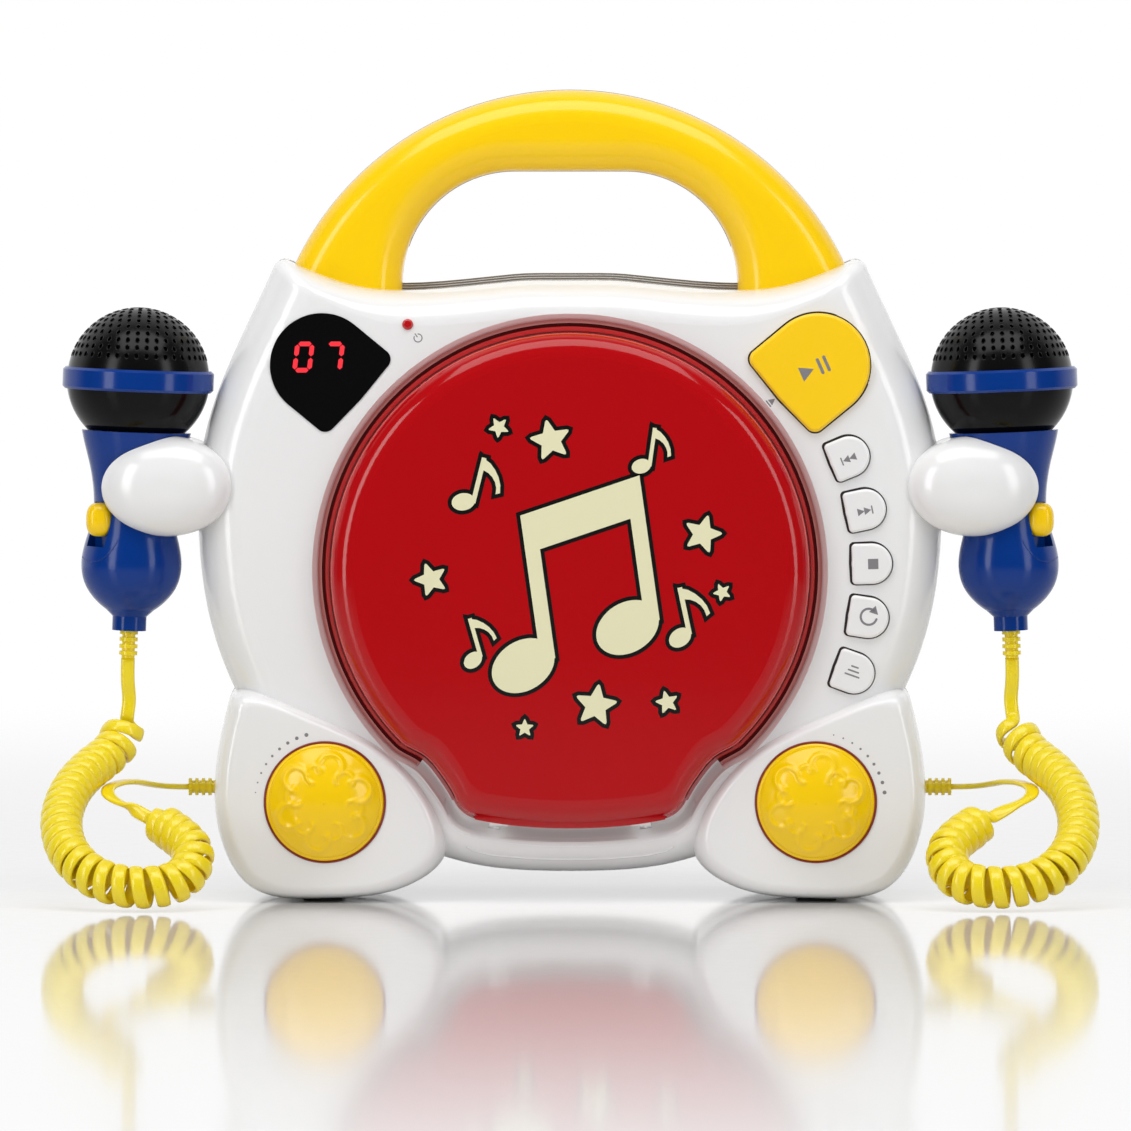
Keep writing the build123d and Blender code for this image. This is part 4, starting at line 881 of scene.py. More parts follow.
def paired_notes(centre, size, turn):
    """Outlines of two quavers joined by a slanting beam."""
    apart, top, slant = size * 3.5, size * 4.7, size * 0.75
    stem = size * 0.24
    outlines = []
    for x, rise in ((0.0, 0.0), (apart, slant)):
        edge = x + size * 0.82
        outlines.append(note_head((x, rise), size * 1.08, 0.0))
        outlines.append([(edge - stem, rise + 0.1 * size), (edge + stem, rise + 0.1 * size),
                         (edge + stem, top + rise), (edge - stem, top + rise)])
    left, right = size * 0.82 - stem, apart + size * 0.82 + stem
    outlines.append([(left, top - size * 1.15), (right, top + slant - size * 1.15),
                     (right, top + slant + size * 0.1), (left, top + size * 0.1)])
    middle_x, middle_z = apart / 2, top / 2
    outlines = [[(x - middle_x, z - middle_z) for x, z in outline] for outline in outlines]
    return [polygon(outline, centre, turn) for outline in outlines]


def lid_motifs():
    """Outlines of the picture about the lid's middle: notes and stars, none of them crossing."""
    outlines = [*paired_notes((-1 * MM, -4 * MM), 9.6 * MM, math.radians(8))]
    for x, z, size, turn in ((-33, 22, 3.6, -14), (34, -20, 3.7, 12), (22, 33, 3.0, -8), (-30, -27, 3.1, 16)):
        outlines += single_note((x * MM, z * MM), size * MM, math.radians(turn))
    for x, z, size, turn in ((-6, 41, 6.4, 12), (41, 12, 6.0, -16), (-43, -2, 5.2, 20), (8, -41, 6.6, -8),
                             (-22, 45, 3.2, 30), (30, -40, 3.6, 14), (-14, -48, 2.8, 0), (47, -6, 2.8, 25)):
        outlines.append(star_outline((x * MM, z * MM), size * MM, math.radians(turn)))
    return outlines


class KARAOKE_OT_lid_picture(Operator):
    """Prints notes and stars on the disc lid"""
    bl_idname = "karaoke.lid_picture"
    bl_label = "Lid picture"

    def execute(self, context):
        size = settings("lid")
        low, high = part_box("disc_lid")
        radius = (high.x - low.x) / 2
        centre = (0.0, high.z - radius)
        flat = [polygon(outline, centre) for outline in lid_motifs()]
        dark = [grown(outline, size.outline) for outline in flat]
        printed("lid_picture_outline", dark, "disc_lid", "lid", "black_gloss", 0.02 * MM,
                finish("picture_black"))
        printed("lid_picture_fill", flat, "disc_lid", "lid", "white_shell", 0.07 * MM,
                finish("picture_cream"))
        return {"FINISHED"}


def lid_rim(steps, start, end, depth=8.5 * MM):
    """Directions from the lid's middle with how far its turned-down edge lies along each."""
    surface = surface_of("disc_lid")
    low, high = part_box("disc_lid")
    hub = Vector((0, low.y + depth, high.z - (high.x - low.x) / 2))
    rim = []
    for step in range(steps + (end - start < 360)):
        angle = math.radians(start + (end - start) * step / steps)
        out = Vector((math.cos(angle), 0, math.sin(angle)))
        hit = surface.ray_cast(hub + out * 0.2, -out)[0]
        rim.append((hub, out, (hit - hub).length))
    return rim


def rim_rows(rim, surface, insets, proud, fallback):
    """Rows of points on a surface, across a band at the given insets from the rim."""
    return [[laid(surface, *(hub + out * (reach - inset)).xz, proud, fallback) for inset in insets]
            for hub, out, reach in rim]


LIP_HALF = 29.5 * MM                # the lip's reach to either side
LIP_START, LIP_END = 172, 222      # its arc about the hinge, in degrees, at its middle
LIP_OUTER, LIP_INNER = 5.1 * MM, 4.2 * MM


def lip_mesh(name):
    """A curved strip round the lid's hinge, shorter towards its ends."""
    low, high = solid_corners("lid_hinge_pins")[0]
    axis = (low + high) / 2
    form = bmesh.new()
    rows = []
    for column in range(49):
        x = (column / 24 - 1) * LIP_HALF
        last = LIP_END - 36 * (x / LIP_HALF) ** 2
        row = []
        for reach, steps in ((LIP_OUTER, range(13)), (LIP_INNER, range(12, -1, -1))):
            for step in steps:
                turn = math.radians(LIP_START + (last - LIP_START) * step / 12)
                row.append(form.verts.new((x, axis.y + math.cos(turn) * reach,
                                           axis.z + math.sin(turn) * reach)))
        rows.append(row)
    for here, after in zip(rows, rows[1:]):
        joined(form, after, here)
    form.faces.new(rows[0])
    form.faces.new(rows[-1])
    return from_bmesh(name, form)


class KARAOKE_OT_lid_trim(Operator):
    """Makes the lid's edge band of painted shade, its bead with a painted highlight, the painted shade in the
    gap round it and its lip, and the ribbons in the groove round it: painted reflection of the lid's red and
    a matte white strip under the lid
    """
    bl_idname = "karaoke.lid_trim"
    bl_label = "Lid trim"

    def execute(self, context):
        lid, shell = surface_of("disc_lid"), surface_of("front_shell")
        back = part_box("disc_lid")[1].y
        band = settings("lid").rim_shade_width
        rim = lid_rim(260, -64, 244)
        insets = [band, band * 0.6, band * 0.35, band * 0.15, band * 0.03]
        # The edge band is painted shade: dark red on the lid's turned-down edge.
        ribbon("lid_edge_band", rim_rows(rim, lid, insets, 0.05 * MM, back), "lid", "red_gloss",
               finish("dark_red_shade"))
        # The bead is a real thin rim; its lighter red is a painted highlight.
        bead = [row[0] for row in rim_rows(rim, lid, [band], 0.05 * MM, back)]
        piece("lid_bead", wire_mesh("lid_bead", bead, 0.15 * MM, False), "lid", "red_gloss",
              finish("bead_highlight"))
        groove = lid_rim(200, -52, 232)
        # Dark red laid just outside the lid's edge, riding the lid, is painted shade of the gap round it.
        insets = [-0.1 * MM, -0.9 * MM, -1.6 * MM, -2.3 * MM]
        rows = rim_rows(groove, shell, insets, 0.03 * MM, back)
        for row, (hub, out, reach) in zip(rows, groove):
            inner = hub + out * (reach - 0.5 * MM)
            row.insert(0, Vector((inner.x, row[0].y - 1.4 * MM, inner.z)))
        ribbon("lid_flange", rows, "lid", "red_gloss", finish("dark_red_shade"))
        # Pink and paler pink ribbons on the recess round the lid are painted reflection of the lid's red.
        for name, first, last in (("rose", 2.3, 3.5), ("blush", 3.5, 5.2)):
            insets = [-(first + (last - first) * step / 3) * MM for step in range(4)]
            ribbon(f"groove_{name}", rim_rows(groove, shell, insets, 0.03 * MM, back), "housing",
                   "rubber", finish(name))
        insets = [-2.7 * MM, -3.9 * MM, -5.2 * MM, -6.5 * MM, -7.8 * MM]
        ribbon("groove_chin", rim_rows(lid_rim(60, 232, 308, 4.8 * MM), shell, insets, 0.03 * MM, back),
               "housing", "rubber", finish("chin"))
        piece("lid_lip", lip_mesh("lid_lip"), "lid", "red_gloss")
        return {"FINISHED"}


# ------------------------------------------------------------------ display and marks
DIGIT_SEGMENTS = {0: "abcdef", 1: "bc", 2: "abged", 3: "abgcd", 4: "fgbc", 5: "afgcd", 6: "afgedc",
                  7: "abc", 8: "abcdefg", 9: "abcdfg"}
DIGIT_WIDTH, DIGIT_HEIGHT = 6.0 * MM, 9.6 * MM
DIGIT_STROKE, DIGIT_SLANT = 1.45 * MM, 0.12
DIGIT_APART = 9.4 * MM


def digit_outlines(number, centre):
    """Lit bars of a seven-bar digit."""
    x, z = DIGIT_WIDTH / 2 - DIGIT_STROKE / 2, DIGIT_HEIGHT / 2 - DIGIT_STROKE / 2
    ends = {"a": ((-x, z), (x, z)), "b": ((x, z), (x, 0)), "c": ((x, 0), (x, -z)), "d": ((-x, -z), (x, -z)),
            "e": ((-x, -z), (-x, 0)), "f": ((-x, 0), (-x, z)), "g": ((-x, 0), (x, 0))}
    outlines = []
    for name in DIGIT_SEGMENTS[number]:
        start, end = (Vector(point) for point in ends[name])
        along = (end - start).normalized()
        across = Vector((-along.y, along.x)) * DIGIT_STROKE / 2
        inset = DIGIT_STROKE * 0.62
        start, end = start + along * inset * 0.25, end - along * inset * 0.25
        corners = [start, start + along * inset * 0.7 + across, end - along * inset * 0.7 + across,
                   end, end - along * inset * 0.7 - across, start + along * inset * 0.7 - across]
        outlines.append([(centre[0] + corner.x + corner.y * DIGIT_SLANT, centre[1] + corner.y)
                         for corner in corners])
    return outlines


class KARAOKE_OT_display(Operator):
    """Lights two plain digits behind the window"""
    bl_idname = "karaoke.display"
    bl_label = "Display digits"

    def execute(self, context):
        low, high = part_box("display_window")
        base = high.z - 15.6 * MM
        first = low.x + 12.4 * MM
        outlines = digit_outlines(0, (first, base))
        outlines += digit_outlines(7, (first + DIGIT_APART, base))
        printed("display_digits", outlines, "display_window", "housing", "red_lens", 0.02 * MM,
                finish("lit_red"))
        return {"FINISHED"}


def silhouette(node_name, grow=0.0, shift=(0.0, 0.0)):
    """The rounded outline of a node's front, without the flange behind it, grown and shifted."""
    form = bmesh.new()
    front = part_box(node_name)[0].y + 1.6 * MM
    for vertex in frame["nodes"][node_name].data.vertices:
        if vertex.co.y < front:
            form.verts.new((vertex.co.x, vertex.co.z, 0))
    hull = bmesh.ops.convex_hull(form, input=form.verts)["geom"]
    centre = middle(node_name)
    corners = {(round(item.co.x, 6), round(item.co.y, 6)) for item in hull
               if isinstance(item, bmesh.types.BMVert)}
    form.free()
    outline = sorted(corners, key=lambda spot: math.atan2(spot[1] - centre.z, spot[0] - centre.x))
    points = []
    for x, z in outline:
        away = Vector((x - centre.x, z - centre.z))
        away += away.normalized() * grow
        points.append((centre.x + away.x + shift[0], centre.z + away.y + shift[1]))
    return points


def triangle(centre, size, turn):
    return polygon([(-size * 0.5, -size * 0.6), (size * 0.6, 0), (-size * 0.5, size * 0.6)], centre, turn)


def skip_mark(centre, size, turn, way):
    """Two arrowheads and a bar, pointing forwards or backwards."""
    turn += 0 if way > 0 else math.pi
    marks = [triangle(placed((shift * size, 0), centre, turn), size, turn) for shift in (-0.75, 0.3)]
    ends = [placed((1.05 * size, rise * size * 0.55), centre, turn) for rise in (-1, 1)]
    return marks + [bar(ends[0], ends[1], size * 0.22)]


def stop_mark(centre, size, turn):
    return [polygon([(-size, -size), (size, -size), (size, size), (-size, size)], centre, turn)]


def repeat_mark(centre, size, turn):
    """An open ring that ends in an arrowhead."""
    ring = arc_points((0, 0), size, 60, 350, 20)
    marks = stroke([placed(point, centre, turn) for point in ring], size * 0.28)
    tip = placed((size * math.cos(math.radians(48)), size * math.sin(math.radians(48))), centre, turn)
    return marks + [triangle(tip, size * 0.95, turn - math.radians(38))]


def mode_mark(centre, size, turn):
    """Three level strokes of growing length."""
    marks = []
    for row, reach in ((1, 0.5), (0, 0.8), (-1, 1.1)):
        ends = [placed((way * reach * size, row * size * 0.7), centre, turn) for way in (-1, 1)]
        marks.append(bar(ends[0], ends[1], size * 0.26))
    return marks


def play_pause_mark(centre, size, turn):
    marks = [triangle(placed((-size * 0.9, 0), centre, turn), size * 1.1, turn)]
    for shift in (0.35, 0.95):
        ends = [placed((shift * size, rise * size * 0.6), centre, turn) for rise in (-1, 1)]
        marks.append(bar(ends[0], ends[1], size * 0.28))
    return marks


def power_mark(centre, size, turn):
    ring = arc_points((0, 0), size, 125, 415, 22)
    marks = stroke([placed(point, centre, turn) for point in ring], size * 0.28)
    return marks + [bar(placed((0, size * 0.35), centre, turn), placed((0, size * 1.25), centre, turn),
                        size * 0.28)]


def open_mark(centre, size, turn):
    """A triangle over a bar."""
    marks = [triangle(placed((0, size * 0.25), centre, turn), size * 1.2, turn + math.pi / 2)]
    ends = [placed((way * size * 0.7, -size * 0.75), centre, turn) for way in (-1, 1)]
    return marks + [bar(ends[0], ends[1], size * 0.28)]


def growing_dots(centre, radius, start, end, count, smallest, largest):
    """Dots on an arc round a knob that grow from its start to its end, angles in degrees."""
    marks = []
    for dot, place in enumerate(arc_points(centre, radius, start, end, count - 1)):
        size = smallest + (largest - smallest) * dot / (count - 1)
        marks.append(round_outline(place, size))
    return marks


class KARAOKE_OT_marks(Operator):
    """Prints plain control marks on the buttons and beside the controls"""
    bl_idname = "karaoke.marks"
    bl_label = "Control marks"

    def execute(self, context):
        lid_low, lid_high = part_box("disc_lid")
        lid_centre = (0.0, lid_high.z - (lid_high.x - lid_low.x) / 2)
        makers = {"back_skip": lambda *place: skip_mark(*place, -1),
                  "forward_skip": lambda *place: skip_mark(*place, 1),
                  "stop": lambda centre, size, turn: stop_mark(centre, size * 0.8, turn),
                  "repeat": lambda centre, size, turn: repeat_mark(centre, size * 1.25, turn),
                  "mode": mode_mark}
        for name, maker in makers.items():
            spot = middle(f"button_{name}")
            turn = math.atan2(spot.z - lid_centre[1], spot.x - lid_centre[0])
            printed(f"mark_{name}", maker((spot.x + 0.4 * MM, spot.z), 2.0 * MM, turn), f"button_{name}",
                    f"button_{name}", "board", 0.02 * MM, finish("ink"))
        # The dark outlines round the buttons are painted shadow of the gaps round them; those of the small
        # buttons are shifted left and up.
        gaps = [silhouette(f"button_{name}", 0.5 * MM, (-0.3 * MM, 0.14 * MM)) for name in makers]
        gaps.append(silhouette("play_button", 0.55 * MM))
        printed("button_gaps", gaps, "front_shell", "housing", "rubber", 0.03 * MM, finish("gap"),
                reach=0.8 * MM)
        spot = middle("play_button")
        mark = play_pause_mark((spot.x + 2.0 * MM, spot.z + 1.5 * MM), 3.6 * MM, math.radians(24))
        printed("mark_play", mark, "play_button", "play_button", "board", 0.02 * MM, finish("ink"))
        led = middle("power_led")
        marks = power_mark((led.x + 3.2 * MM, led.z - 4.2 * MM), 1.25 * MM, math.radians(35))
        marks += open_mark((62.4 * MM, 155.6 * MM), 1.5 * MM, math.radians(-52))
        printed("face_marks", marks, "front_shell", "housing", "board", 0.02 * MM, finish("ink"))
        marks = []
        for word, side in SIDES:
            knob = middle(f"knob_{word}")
            start, end = (172, 105) if side < 0 else (75, 8)
            marks += growing_dots((knob.x, knob.z), 21.6 * MM, start, end, 9, 0.22 * MM, 0.62 * MM)
        printed("knob_marks", marks, "front_shell", "housing", "board", 0.02 * MM, finish("ink"))
        return {"FINISHED"}


# ------------------------------------------------------------------ knobs
def curl_height(x, z, count, reach):
    """Share of the full rise at a point of the knob's top: curls set round a plain middle."""
    best = 0.0
    for curl in range(count):
        turn = 2 * math.pi * curl / count + 0.35
        across, up = placed((x, z), (0, 0), -turn)
        distance = math.hypot(across - reach * 0.62, up)
        angle = math.degrees(math.atan2(up, across - reach * 0.62))
        ring = abs(distance - reach * 0.2)
        ends = eased((145 - abs(angle)) / 30)
        best = max(best, eased(1 - ring / (reach * 0.075)) * ends)
        tail = math.hypot(across - reach * 0.42, up + reach * 0.27)
        best = max(best, 0.8 * eased(1 - abs(tail - reach * 0.15) / (reach * 0.06))
                   * eased((across - reach * 0.3) / (reach * 0.1)))
    return best


SHADE_RING_Y = -42.6 * MM               # where the ring of painted shade in the gap round a knob lies
KNOB_SKIRT = 2.6 * MM


def knob_mesh(name, low, high, size):
    """A domed knob with raised curls, a groove near its edge and a straight skirt."""
    centre = (low + high) / 2
    radius = (high.x - low.x) / 2
    top, rim, back = low.y, high.y - KNOB_SKIRT, high.y
    height = rim - top
    ball = (radius ** 2 + height ** 2) / (2 * height)
    rings, around = 56, turns(168)
    form = bmesh.new()
    rows = [[form.verts.new((centre.x, top, centre.z))]]
    for ring in range(1, rings + 1):
        reach = (radius - 0.35 * MM) * ring / rings
        dome_y = top + ball - math.sqrt(ball ** 2 - reach ** 2)
        dome_y += 0.3 * MM * eased(1 - abs(reach - radius * 0.93) / (radius * 0.02))
        row = []
        for across, along in around:
            x, z = reach * across, reach * along
            rise = size.rise * curl_height(x, z, size.curls, radius)
            row.append(form.verts.new((centre.x + x, max(dome_y - rise + 0.35 * MM, top), centre.z + z)))
        rows.append(row)
    for reach, y in ((radius - 0.1 * MM, rim + 0.3 * MM), (radius, rim + 0.8 * MM), (radius, back),
                     (radius - 2.0 * MM, back)):
        rows.append([form.verts.new((centre.x + reach * across, y, centre.z + reach * along))
                     for across, along in around])
    rows.append([form.verts.new((centre.x, back, centre.z))])
    for low_row, high_row in zip(rows, rows[1:]):
        joined(form, low_row, high_row)
    return from_bmesh(name, form)


class KARAOKE_OT_knobs(Operator):
    """Makes the two domed knobs with their raised curls"""
    bl_idname = "karaoke.knobs"
    bl_label = "Knobs"

    def execute(self, context):
        for word, _ in SIDES:
            low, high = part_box(f"knob_{word}")
            top = knob_mesh(f"knob_top_{word}", low, high, settings("knob"))
            knob = piece(f"knob_top_{word}", top, f"knob_{word}", "yellow_gloss", None, 60.0)
            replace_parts(knob, f"knob_{word}")
            # A dark red ring in the gap round each knob is painted shade.
            centre, radius = (low + high) / 2, (high.x - low.x) / 2 + 0.05 * MM
            loop = [Vector((centre.x + 0.12 * MM + radius * across, SHADE_RING_Y, centre.z + radius * along))
                    for across, along in turns(120)]
            piece(f"knob_collar_{word}", wire_mesh(f"knob_collar_{word}", loop, 0.42 * MM, True, 10),
                  "housing", "rubber", finish("knob_gap_shade"))
        return {"FINISHED"}


# ------------------------------------------------------------------ screws and seams
def screw_mesh(length, shank_radius, head_reach, head_height):
    """A screw about Z, its head up, with a cross recess."""
    bevel = 0.35 * MM
    form = spun([(0, -length), (shank_radius * 0.6, -length), (shank_radius, -length + 1.2 * MM),
                 (shank_radius, 0), (head_reach, 0), (head_reach, head_height - bevel * 2),
                 (head_reach - bevel, head_height - bevel * 0.5), (head_reach * 0.6, head_height),
                 (0, head_height)], 32)
    solid = from_bmesh("screw", form)
    cutter = bmesh.new()
    for turn in (0, math.pi / 2):
        for step in bmesh.ops.create_cube(cutter, size=1.0)["verts"]:
            x, y, z = step.co
            x, y = x * head_reach * 1.25, y * 0.6 * MM
            step.co = (x * math.cos(turn) - y * math.sin(turn), x * math.sin(turn) + y * math.cos(turn),
                       head_height + z * 1.8 * MM)
    objects = [bpy.data.objects.new("screw", solid),
               bpy.data.objects.new("cross", from_bmesh("cross", cutter))]
    for thing in objects:
        bpy.context.scene.collection.objects.link(thing)
    cut = objects[0].modifiers.new("cross", "BOOLEAN")
    cut.object = objects[1]
    cut.solver = "EXACT"
    cut.use_self = True
    depsgraph = bpy.context.evaluated_depsgraph_get()
    mesh = bpy.data.meshes.new_from_object(objects[0].evaluated_get(depsgraph), depsgraph=depsgraph)
    for thing in objects:
        bpy.data.objects.remove(thing)
    return mesh


def solid_corners(node_name):
    """Low and high corners of the separate solids of a node, by flooding its shared corners."""
    mesh = frame["nodes"][node_name].data
    form = bmesh.new()
    form.from_mesh(mesh)
    bmesh.ops.remove_doubles(form, verts=form.verts, dist=0.01 * MM)
    found, seen = [], set()
    for first in form.verts:
        if first in seen:
            continue
        group, waiting = [], [first]
        seen.add(first)
        while waiting:
            here = waiting.pop()
            group.append(here.co.copy())
            for edge in here.link_edges:
                other = edge.other_vert(here)
                if other not in seen:
                    seen.add(other)
                    waiting.append(other)
        low = Vector([min(place[axis] for place in group) for axis in range(3)])
        high = Vector([max(place[axis] for place in group) for axis in range(3)])
        found.append((low, high))
    form.free()
    return found


class KARAOKE_OT_screws(Operator):
    """Sets cross-headed screws in the back's six screw wells"""
    bl_idname = "karaoke.screws"
    bl_label = "Housing screws"

    def execute(self, context):
        groups = solid_corners("housing_screws")
        head_height = 2.0 * MM
        low, high = groups[0]
        screw = screw_mesh(high.y - low.y - head_height, 1.5 * MM, (high.x - low.x) / 2, head_height)
        copy = bpy.data.objects.new("screw", screw)
        context.scene.collection.objects.link(copy)
        spots = [Vector(((low.x + high.x) / 2, high.y - head_height, (low.z + high.z) / 2))
                 for low, high in groups]
        points = mesh_of("spots", spots, [])
        heading = points.attributes.new("heading", "FLOAT_VECTOR", "POINT")
        heading.data.foreach_set("vector", [0, 1, 0] * len(spots))
        mesh = baked("screws", points, copies_tree(), {"Copy": copy, "Material": finish("steel")})
        bpy.data.objects.remove(copy)
        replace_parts(piece("screws", mesh, "housing", "steel", None, 30.0), "housing_screws")
        return {"FINISHED"}


def wire_mesh(name, path, radius, closed, sides=6):
    """A thin round strip along a path."""
    form = bmesh.new()
    rings = []
    count = len(path)
    for here, centre in enumerate(path):
        before = path[here - 1] if closed or here else path[here]
        after = path[(here + 1) % count] if closed or here + 1 < count else path[here]
        tangent = (after - before).normalized()
        side = tangent.cross(Vector((0, 1, 0))).normalized()
        up = side.cross(tangent)
        rings.append([form.verts.new(centre + side * radius * across + up * radius * along)
                      for across, along in turns(sides)])
    for low, high in zip(rings, rings[1:]):
        joined(form, low, high)
    if closed:
        joined(form, rings[-1], rings[0])
    else:
        form.faces.new(rings[0])
        form.faces.new(rings[-1])
    return from_bmesh(name, form)


SEAM_Y = -0.05 * MM                 # where the shells' surfaces are read, just in front of the seam
SEAM_JUMP = 4 * MM                  # a longer step than this starts a new run


def seam_runs(node_name, centre, start, end, steps, outside=True):
    """Runs of points where a node's surface meets the seam plane, seen from or towards a centre."""
    surface = surface_of(node_name)
    hub = Vector((centre[0], SEAM_Y, centre[1]))
    runs = [[]]
    for step in range(steps + 1):
        angle = math.radians(start + (end - start) * step / steps)
        out = Vector((math.cos(angle), 0, math.sin(angle)))
        hit = surface.ray_cast(hub + out * 0.3, -out)[0] if outside else surface.ray_cast(hub, out)[0]
        if hit is None or (runs[-1] and (hit - runs[-1][-1]).length > SEAM_JUMP):
            runs.append([])
        if hit is not None:
            runs[-1].append(Vector((hit.x, 0.0, hit.z)))
    return [run for run in runs if len(run) > 4]


# The crease of the chin under the lid, in millimetres.
RIDGE = [(-32.0, 17.4), (-30.0, 16.0), (-24.0, 14.6), (-12.0, 13.6), (0.0, 13.3), (12.0, 13.6), (24.0, 14.6),
         (30.0, 16.0), (32.0, 17.4)]


STRIP_HALF = 53.5 * MM              # the reach of the thin lines along the top to either side


class KARAOKE_OT_seams(Operator):
    """Draws the parting line between the front and rear shells and round the handle"""
    bl_idname = "karaoke.seams"
    bl_label = "Parting lines"

    def execute(self, context):
        low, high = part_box("front_shell")
        hub = (0.0, (low.z + high.z) / 2)
        handle_low, handle_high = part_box("handle_front")
        arch = (0.0, handle_high.z - (handle_high.z - handle_low.z) * 1.5)
        runs = seam_runs("front_shell", hub, 0, 360, 720)
        runs += seam_runs("handle_front", arch, 10, 170, 240)
        runs += seam_runs("handle_front", (0.0, handle_high.z - 40 * MM), -10, 190, 200, outside=False)
        form = bmesh.new()
        for run in runs:
            form.from_mesh(wire_mesh("seam", run, 0.16 * MM, False))
        surface = surface_of("front_shell")
        ridge = []
        for step in range(101):
            x = (step / 50 - 1) * STRIP_HALF
            hit = surface.ray_cast(Vector((x, -0.6 * MM, 1)), Vector((0, 0, -1)))[0]
            ridge.append(Vector((x, 0, hit.z)))
        for rise in (0.35, 1.1, 1.85):
            line = [place + Vector((0, -0.5 * MM, rise * MM)) for place in ridge]
            form.from_mesh(wire_mesh("seam", line, 0.24 * MM, False))
        piece("parting_lines", from_bmesh("parting_lines", form), "housing", "rubber", finish("seam"))
        line = [laid(surface, x * MM, z * MM, -0.1 * MM, -0.03) for x, z in RIDGE]
        piece("chin_ridge", wire_mesh("chin_ridge", line, 0.45 * MM, False, 10), "housing",
              "white_shell")
        strip = bmesh.new()
        rows = [[strip.verts.new(place + Vector((0, y * MM, z * MM)))
                 for y, z in ((-0.5, -0.5), (-0.5, 2.0), (0.5, 2.0), (0.5, -0.5))] for place in ridge]
        for low_row, high_row in zip(rows, rows[1:]):
            joined(strip, low_row, high_row)
        strip.faces.new(rows[0])
        strip.faces.new(rows[-1])
        piece("top_strip", from_bmesh("top_strip", strip), "housing", "white_shell")
        return {"FINISHED"}


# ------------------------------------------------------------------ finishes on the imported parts
class KARAOKE_OT_finishes(Operator):
    """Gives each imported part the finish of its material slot"""
    bl_idname = "karaoke.finishes"
    bl_label = "Finishes"

    def execute(self, context):
        for row in frame["record"]["subparts"]:
            thing = frame["nodes"][row["node"]]
            thing.data.materials.clear()
            thing.data.materials.append(finish(row["material_slot"]))
        return {"FINISHED"}


# ------------------------------------------------------------------ stage
def area_lamp(name, place, target, width, height, power):
    lamp = bpy.data.lights.new(name, "AREA")
    lamp.shape = "RECTANGLE"
    lamp.size, lamp.size_y = width, height
    lamp.energy = power
    thing = bpy.data.objects.new(name, lamp)
    thing.location = place
    thing.rotation_euler = (Vector(target) - Vector(place)).to_track_quat("-Z", "Y").to_euler()
    thing.visible_camera = False
    bpy.context.scene.collection.objects.link(thing)


def floor_finish():
    """A polished pale floor that runs out to plain white for the camera."""
    material = moulded("floor", (0.84, 0.84, 0.84), 0.07, 0.004, 0.0, 40.0, 0.0)
    tree = material.node_tree
    place = node(tree, "ShaderNodeTexCoord")
    reach = node(tree, "ShaderNodeVectorMath", {0: place.outputs["Object"]}, operation="LENGTH")
    fade = node(tree, "ShaderNodeMapRange",
                {"Value": reach.outputs["Value"], "From Min": 0.25, "From Max": 1.25},
                interpolation_type="SMOOTHSTEP")
    rays = node(tree, "ShaderNodeLightPath")
    seen = node(tree, "ShaderNodeMath",
                {0: fade.outputs["Result"], 1: rays.outputs["Is Camera Ray"]}, operation="MULTIPLY")
    white = node(tree, "ShaderNodeEmission")
    mix = node(tree, "ShaderNodeMixShader",
               {"Fac": seen.outputs["Value"], 1: tree.nodes["Principled BSDF"].outputs["BSDF"],
                2: white.outputs["Emission"]})
    tree.links.new(mix.outputs["Shader"], tree.nodes["Material Output"].inputs["Surface"])
    return material


def studio_world():
    """Even light; the camera and the gloss see plain white, dimmer on the side the lamps stand on."""
    world = bpy.data.worlds.new("studio")
    bpy.context.scene.world = world
    world.use_nodes = True
    tree = world.node_tree
    tree.nodes.clear()
    rays = node(tree, "ShaderNodeLightPath")
    shiny = node(tree, "ShaderNodeMath",
                 {0: rays.outputs["Is Glossy Ray"], 1: rays.outputs["Is Transmission Ray"]},
                 operation="MAXIMUM")
    seen = node(tree, "ShaderNodeMath",
                {0: rays.outputs["Is Camera Ray"], 1: shiny.outputs["Value"]}, operation="MAXIMUM")
    heading = node(tree, "ShaderNodeTexCoord")
    parts = node(tree, "ShaderNodeSeparateXYZ", {"Vector": heading.outputs["Generated"]})
    level = node(tree, "ShaderNodeMapRange",
                 {"Value": parts.outputs["Y"], "From Min": -0.1, "From Max": 0.4, "To Min": 0.08},
                 interpolation_type="SMOOTHSTEP")
    brightest = node(tree, "ShaderNodeMath",
                     {0: level.outputs["Result"], 1: rays.outputs["Is Camera Ray"]},
                     operation="MAXIMUM")
    plain = (1, 1, 1, 1)
    white = node(tree, "ShaderNodeBackground",
                 {"Color": plain, "Strength": brightest.outputs["Value"]})
    soft = node(tree, "ShaderNodeBackground", {"Color": plain, "Strength": 0.36})
    mix = node(tree, "ShaderNodeMixShader",
               {"Fac": seen.outputs["Value"], 1: soft.outputs["Background"],
                2: white.outputs["Background"]})
    node(tree, "ShaderNodeOutputWorld", {"Surface": mix.outputs["Shader"]})


FLOOR_HALF = 1.4
VIEWED = (-1.4 * MM, -0.05, 0.1052)    # the point on the player's face that the camera looks at


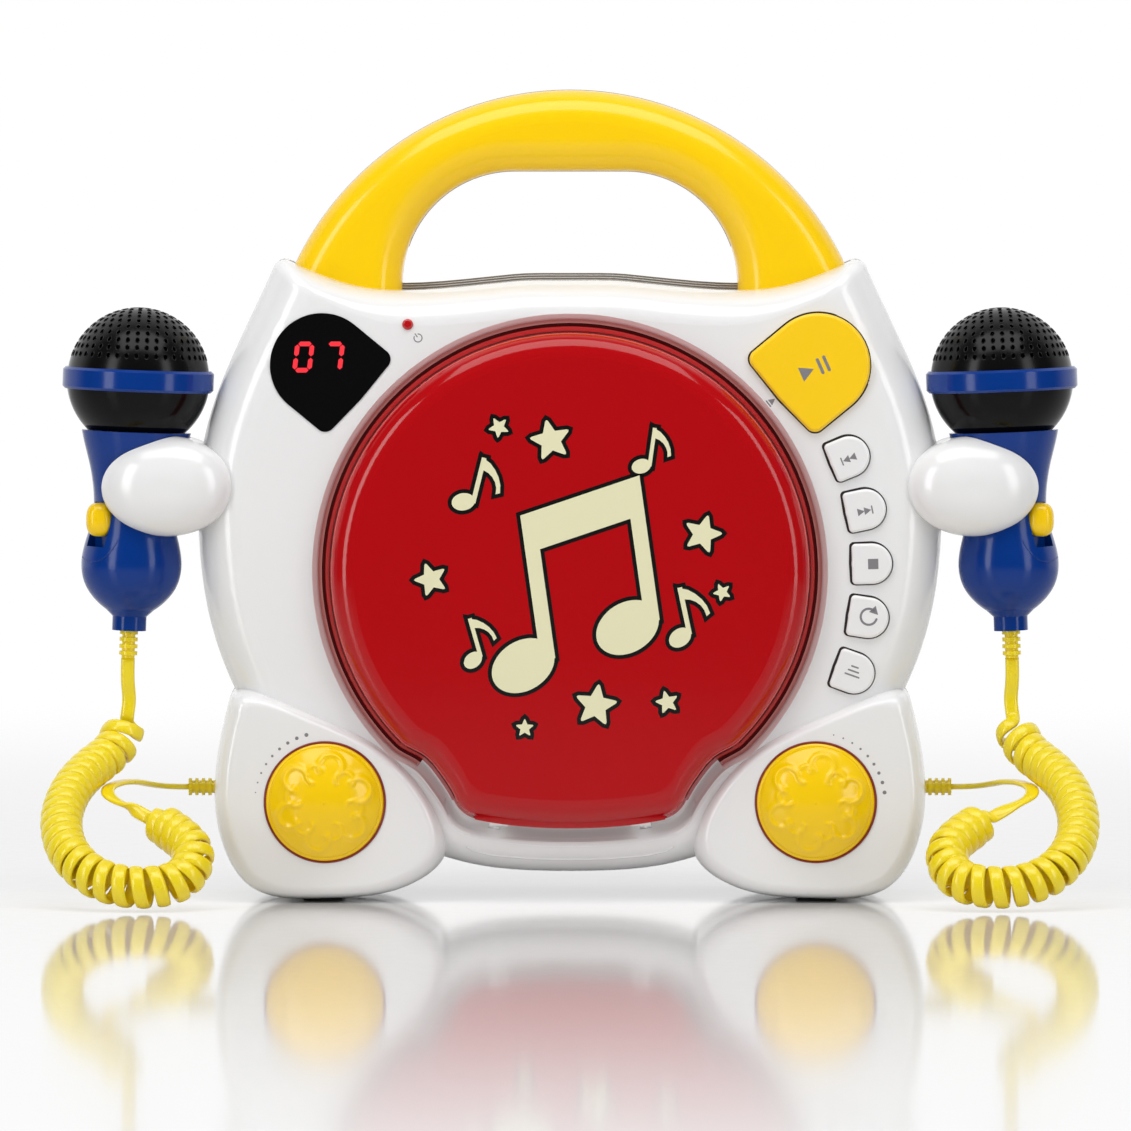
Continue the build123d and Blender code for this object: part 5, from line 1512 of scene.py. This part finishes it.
class KARAOKE_OT_stage(Operator):
    """Sets the floor, the lamps and the camera"""
    bl_idname = "karaoke.stage"
    bl_label = "Floor, lamps and camera"

    def execute(self, context):
        size = settings("stage")
        scene = context.scene
        scene.view_settings.view_transform = "Standard"
        studio_world()
        corners = [(x * FLOOR_HALF, y * FLOOR_HALF, 0) for x, y in ((-1, -1), (1, -1), (1, 1), (-1, 1))]
        floor_mesh = mesh_of("floor", corners, [[0, 1, 2, 3]])
        floor_mesh.materials.append(floor_finish())
        floor = bpy.data.objects.new("floor", floor_mesh)
        scene.collection.objects.link(floor)
        back = Vector((0, -math.cos(size.elevation), math.sin(size.elevation)))
        lens = bpy.data.cameras.new("camera")
        lens.sensor_width = 36.0
        lens.lens = lens.sensor_width * size.distance / size.view_width
        lens.clip_start, lens.clip_end = 0.05, 50
        camera = bpy.data.objects.new("camera", lens)
        camera.location = Vector(VIEWED) + back * size.distance
        camera.rotation_euler = (-back).to_track_quat("-Z", "Y").to_euler()
        scene.collection.objects.link(camera)
        scene.camera = camera
        aim = (0, 0, 0.12)
        area_lamp("overhead", (0, -0.45, 1.15), aim, 1.3, 0.7, size.lamp_power)
        area_lamp("left strip", (-1.0, -0.95, 0.4), aim, 0.35, 1.2, size.lamp_power * 0.68)
        area_lamp("right strip", (1.0, -0.95, 0.4), aim, 0.35, 1.2, size.lamp_power * 0.52)
        return {"FINISHED"}


OPERATORS = (KARAOKE_OT_stage, KARAOKE_OT_finishes, KARAOKE_OT_cords, KARAOKE_OT_heads,
             KARAOKE_OT_mic_details, KARAOKE_OT_lid_picture, KARAOKE_OT_lid_trim,
             KARAOKE_OT_display, KARAOKE_OT_marks, KARAOKE_OT_knobs, KARAOKE_OT_screws,
             KARAOKE_OT_seams)


class KARAOKE_PT_panel(Panel):
    """Lists the player's steps"""
    bl_label = "Karaoke player"
    bl_idname = "KARAOKE_PT_panel"
    bl_space_type = "VIEW_3D"
    bl_region_type = "UI"
    bl_category = "Karaoke"

    def draw(self, context):
        for operator in OPERATORS:
            self.layout.operator(operator.bl_idname)


def register():
    for name, group in SETTINGS.items():
        bpy.utils.register_class(group)
        setattr(bpy.types.Scene, name, PointerProperty(type=group))
    for operator in (*OPERATORS, KARAOKE_PT_panel):
        bpy.utils.register_class(operator)


def unregister():
    for operator in (*OPERATORS, KARAOKE_PT_panel):
        bpy.utils.unregister_class(operator)
    for name, group in SETTINGS.items():
        delattr(bpy.types.Scene, name)
        bpy.utils.unregister_class(group)


def main():
    register()
    for operator in OPERATORS:
        area, name = operator.bl_idname.split(".")
        getattr(getattr(bpy.ops, area), name)()


if __name__ == "__main__":
    main()
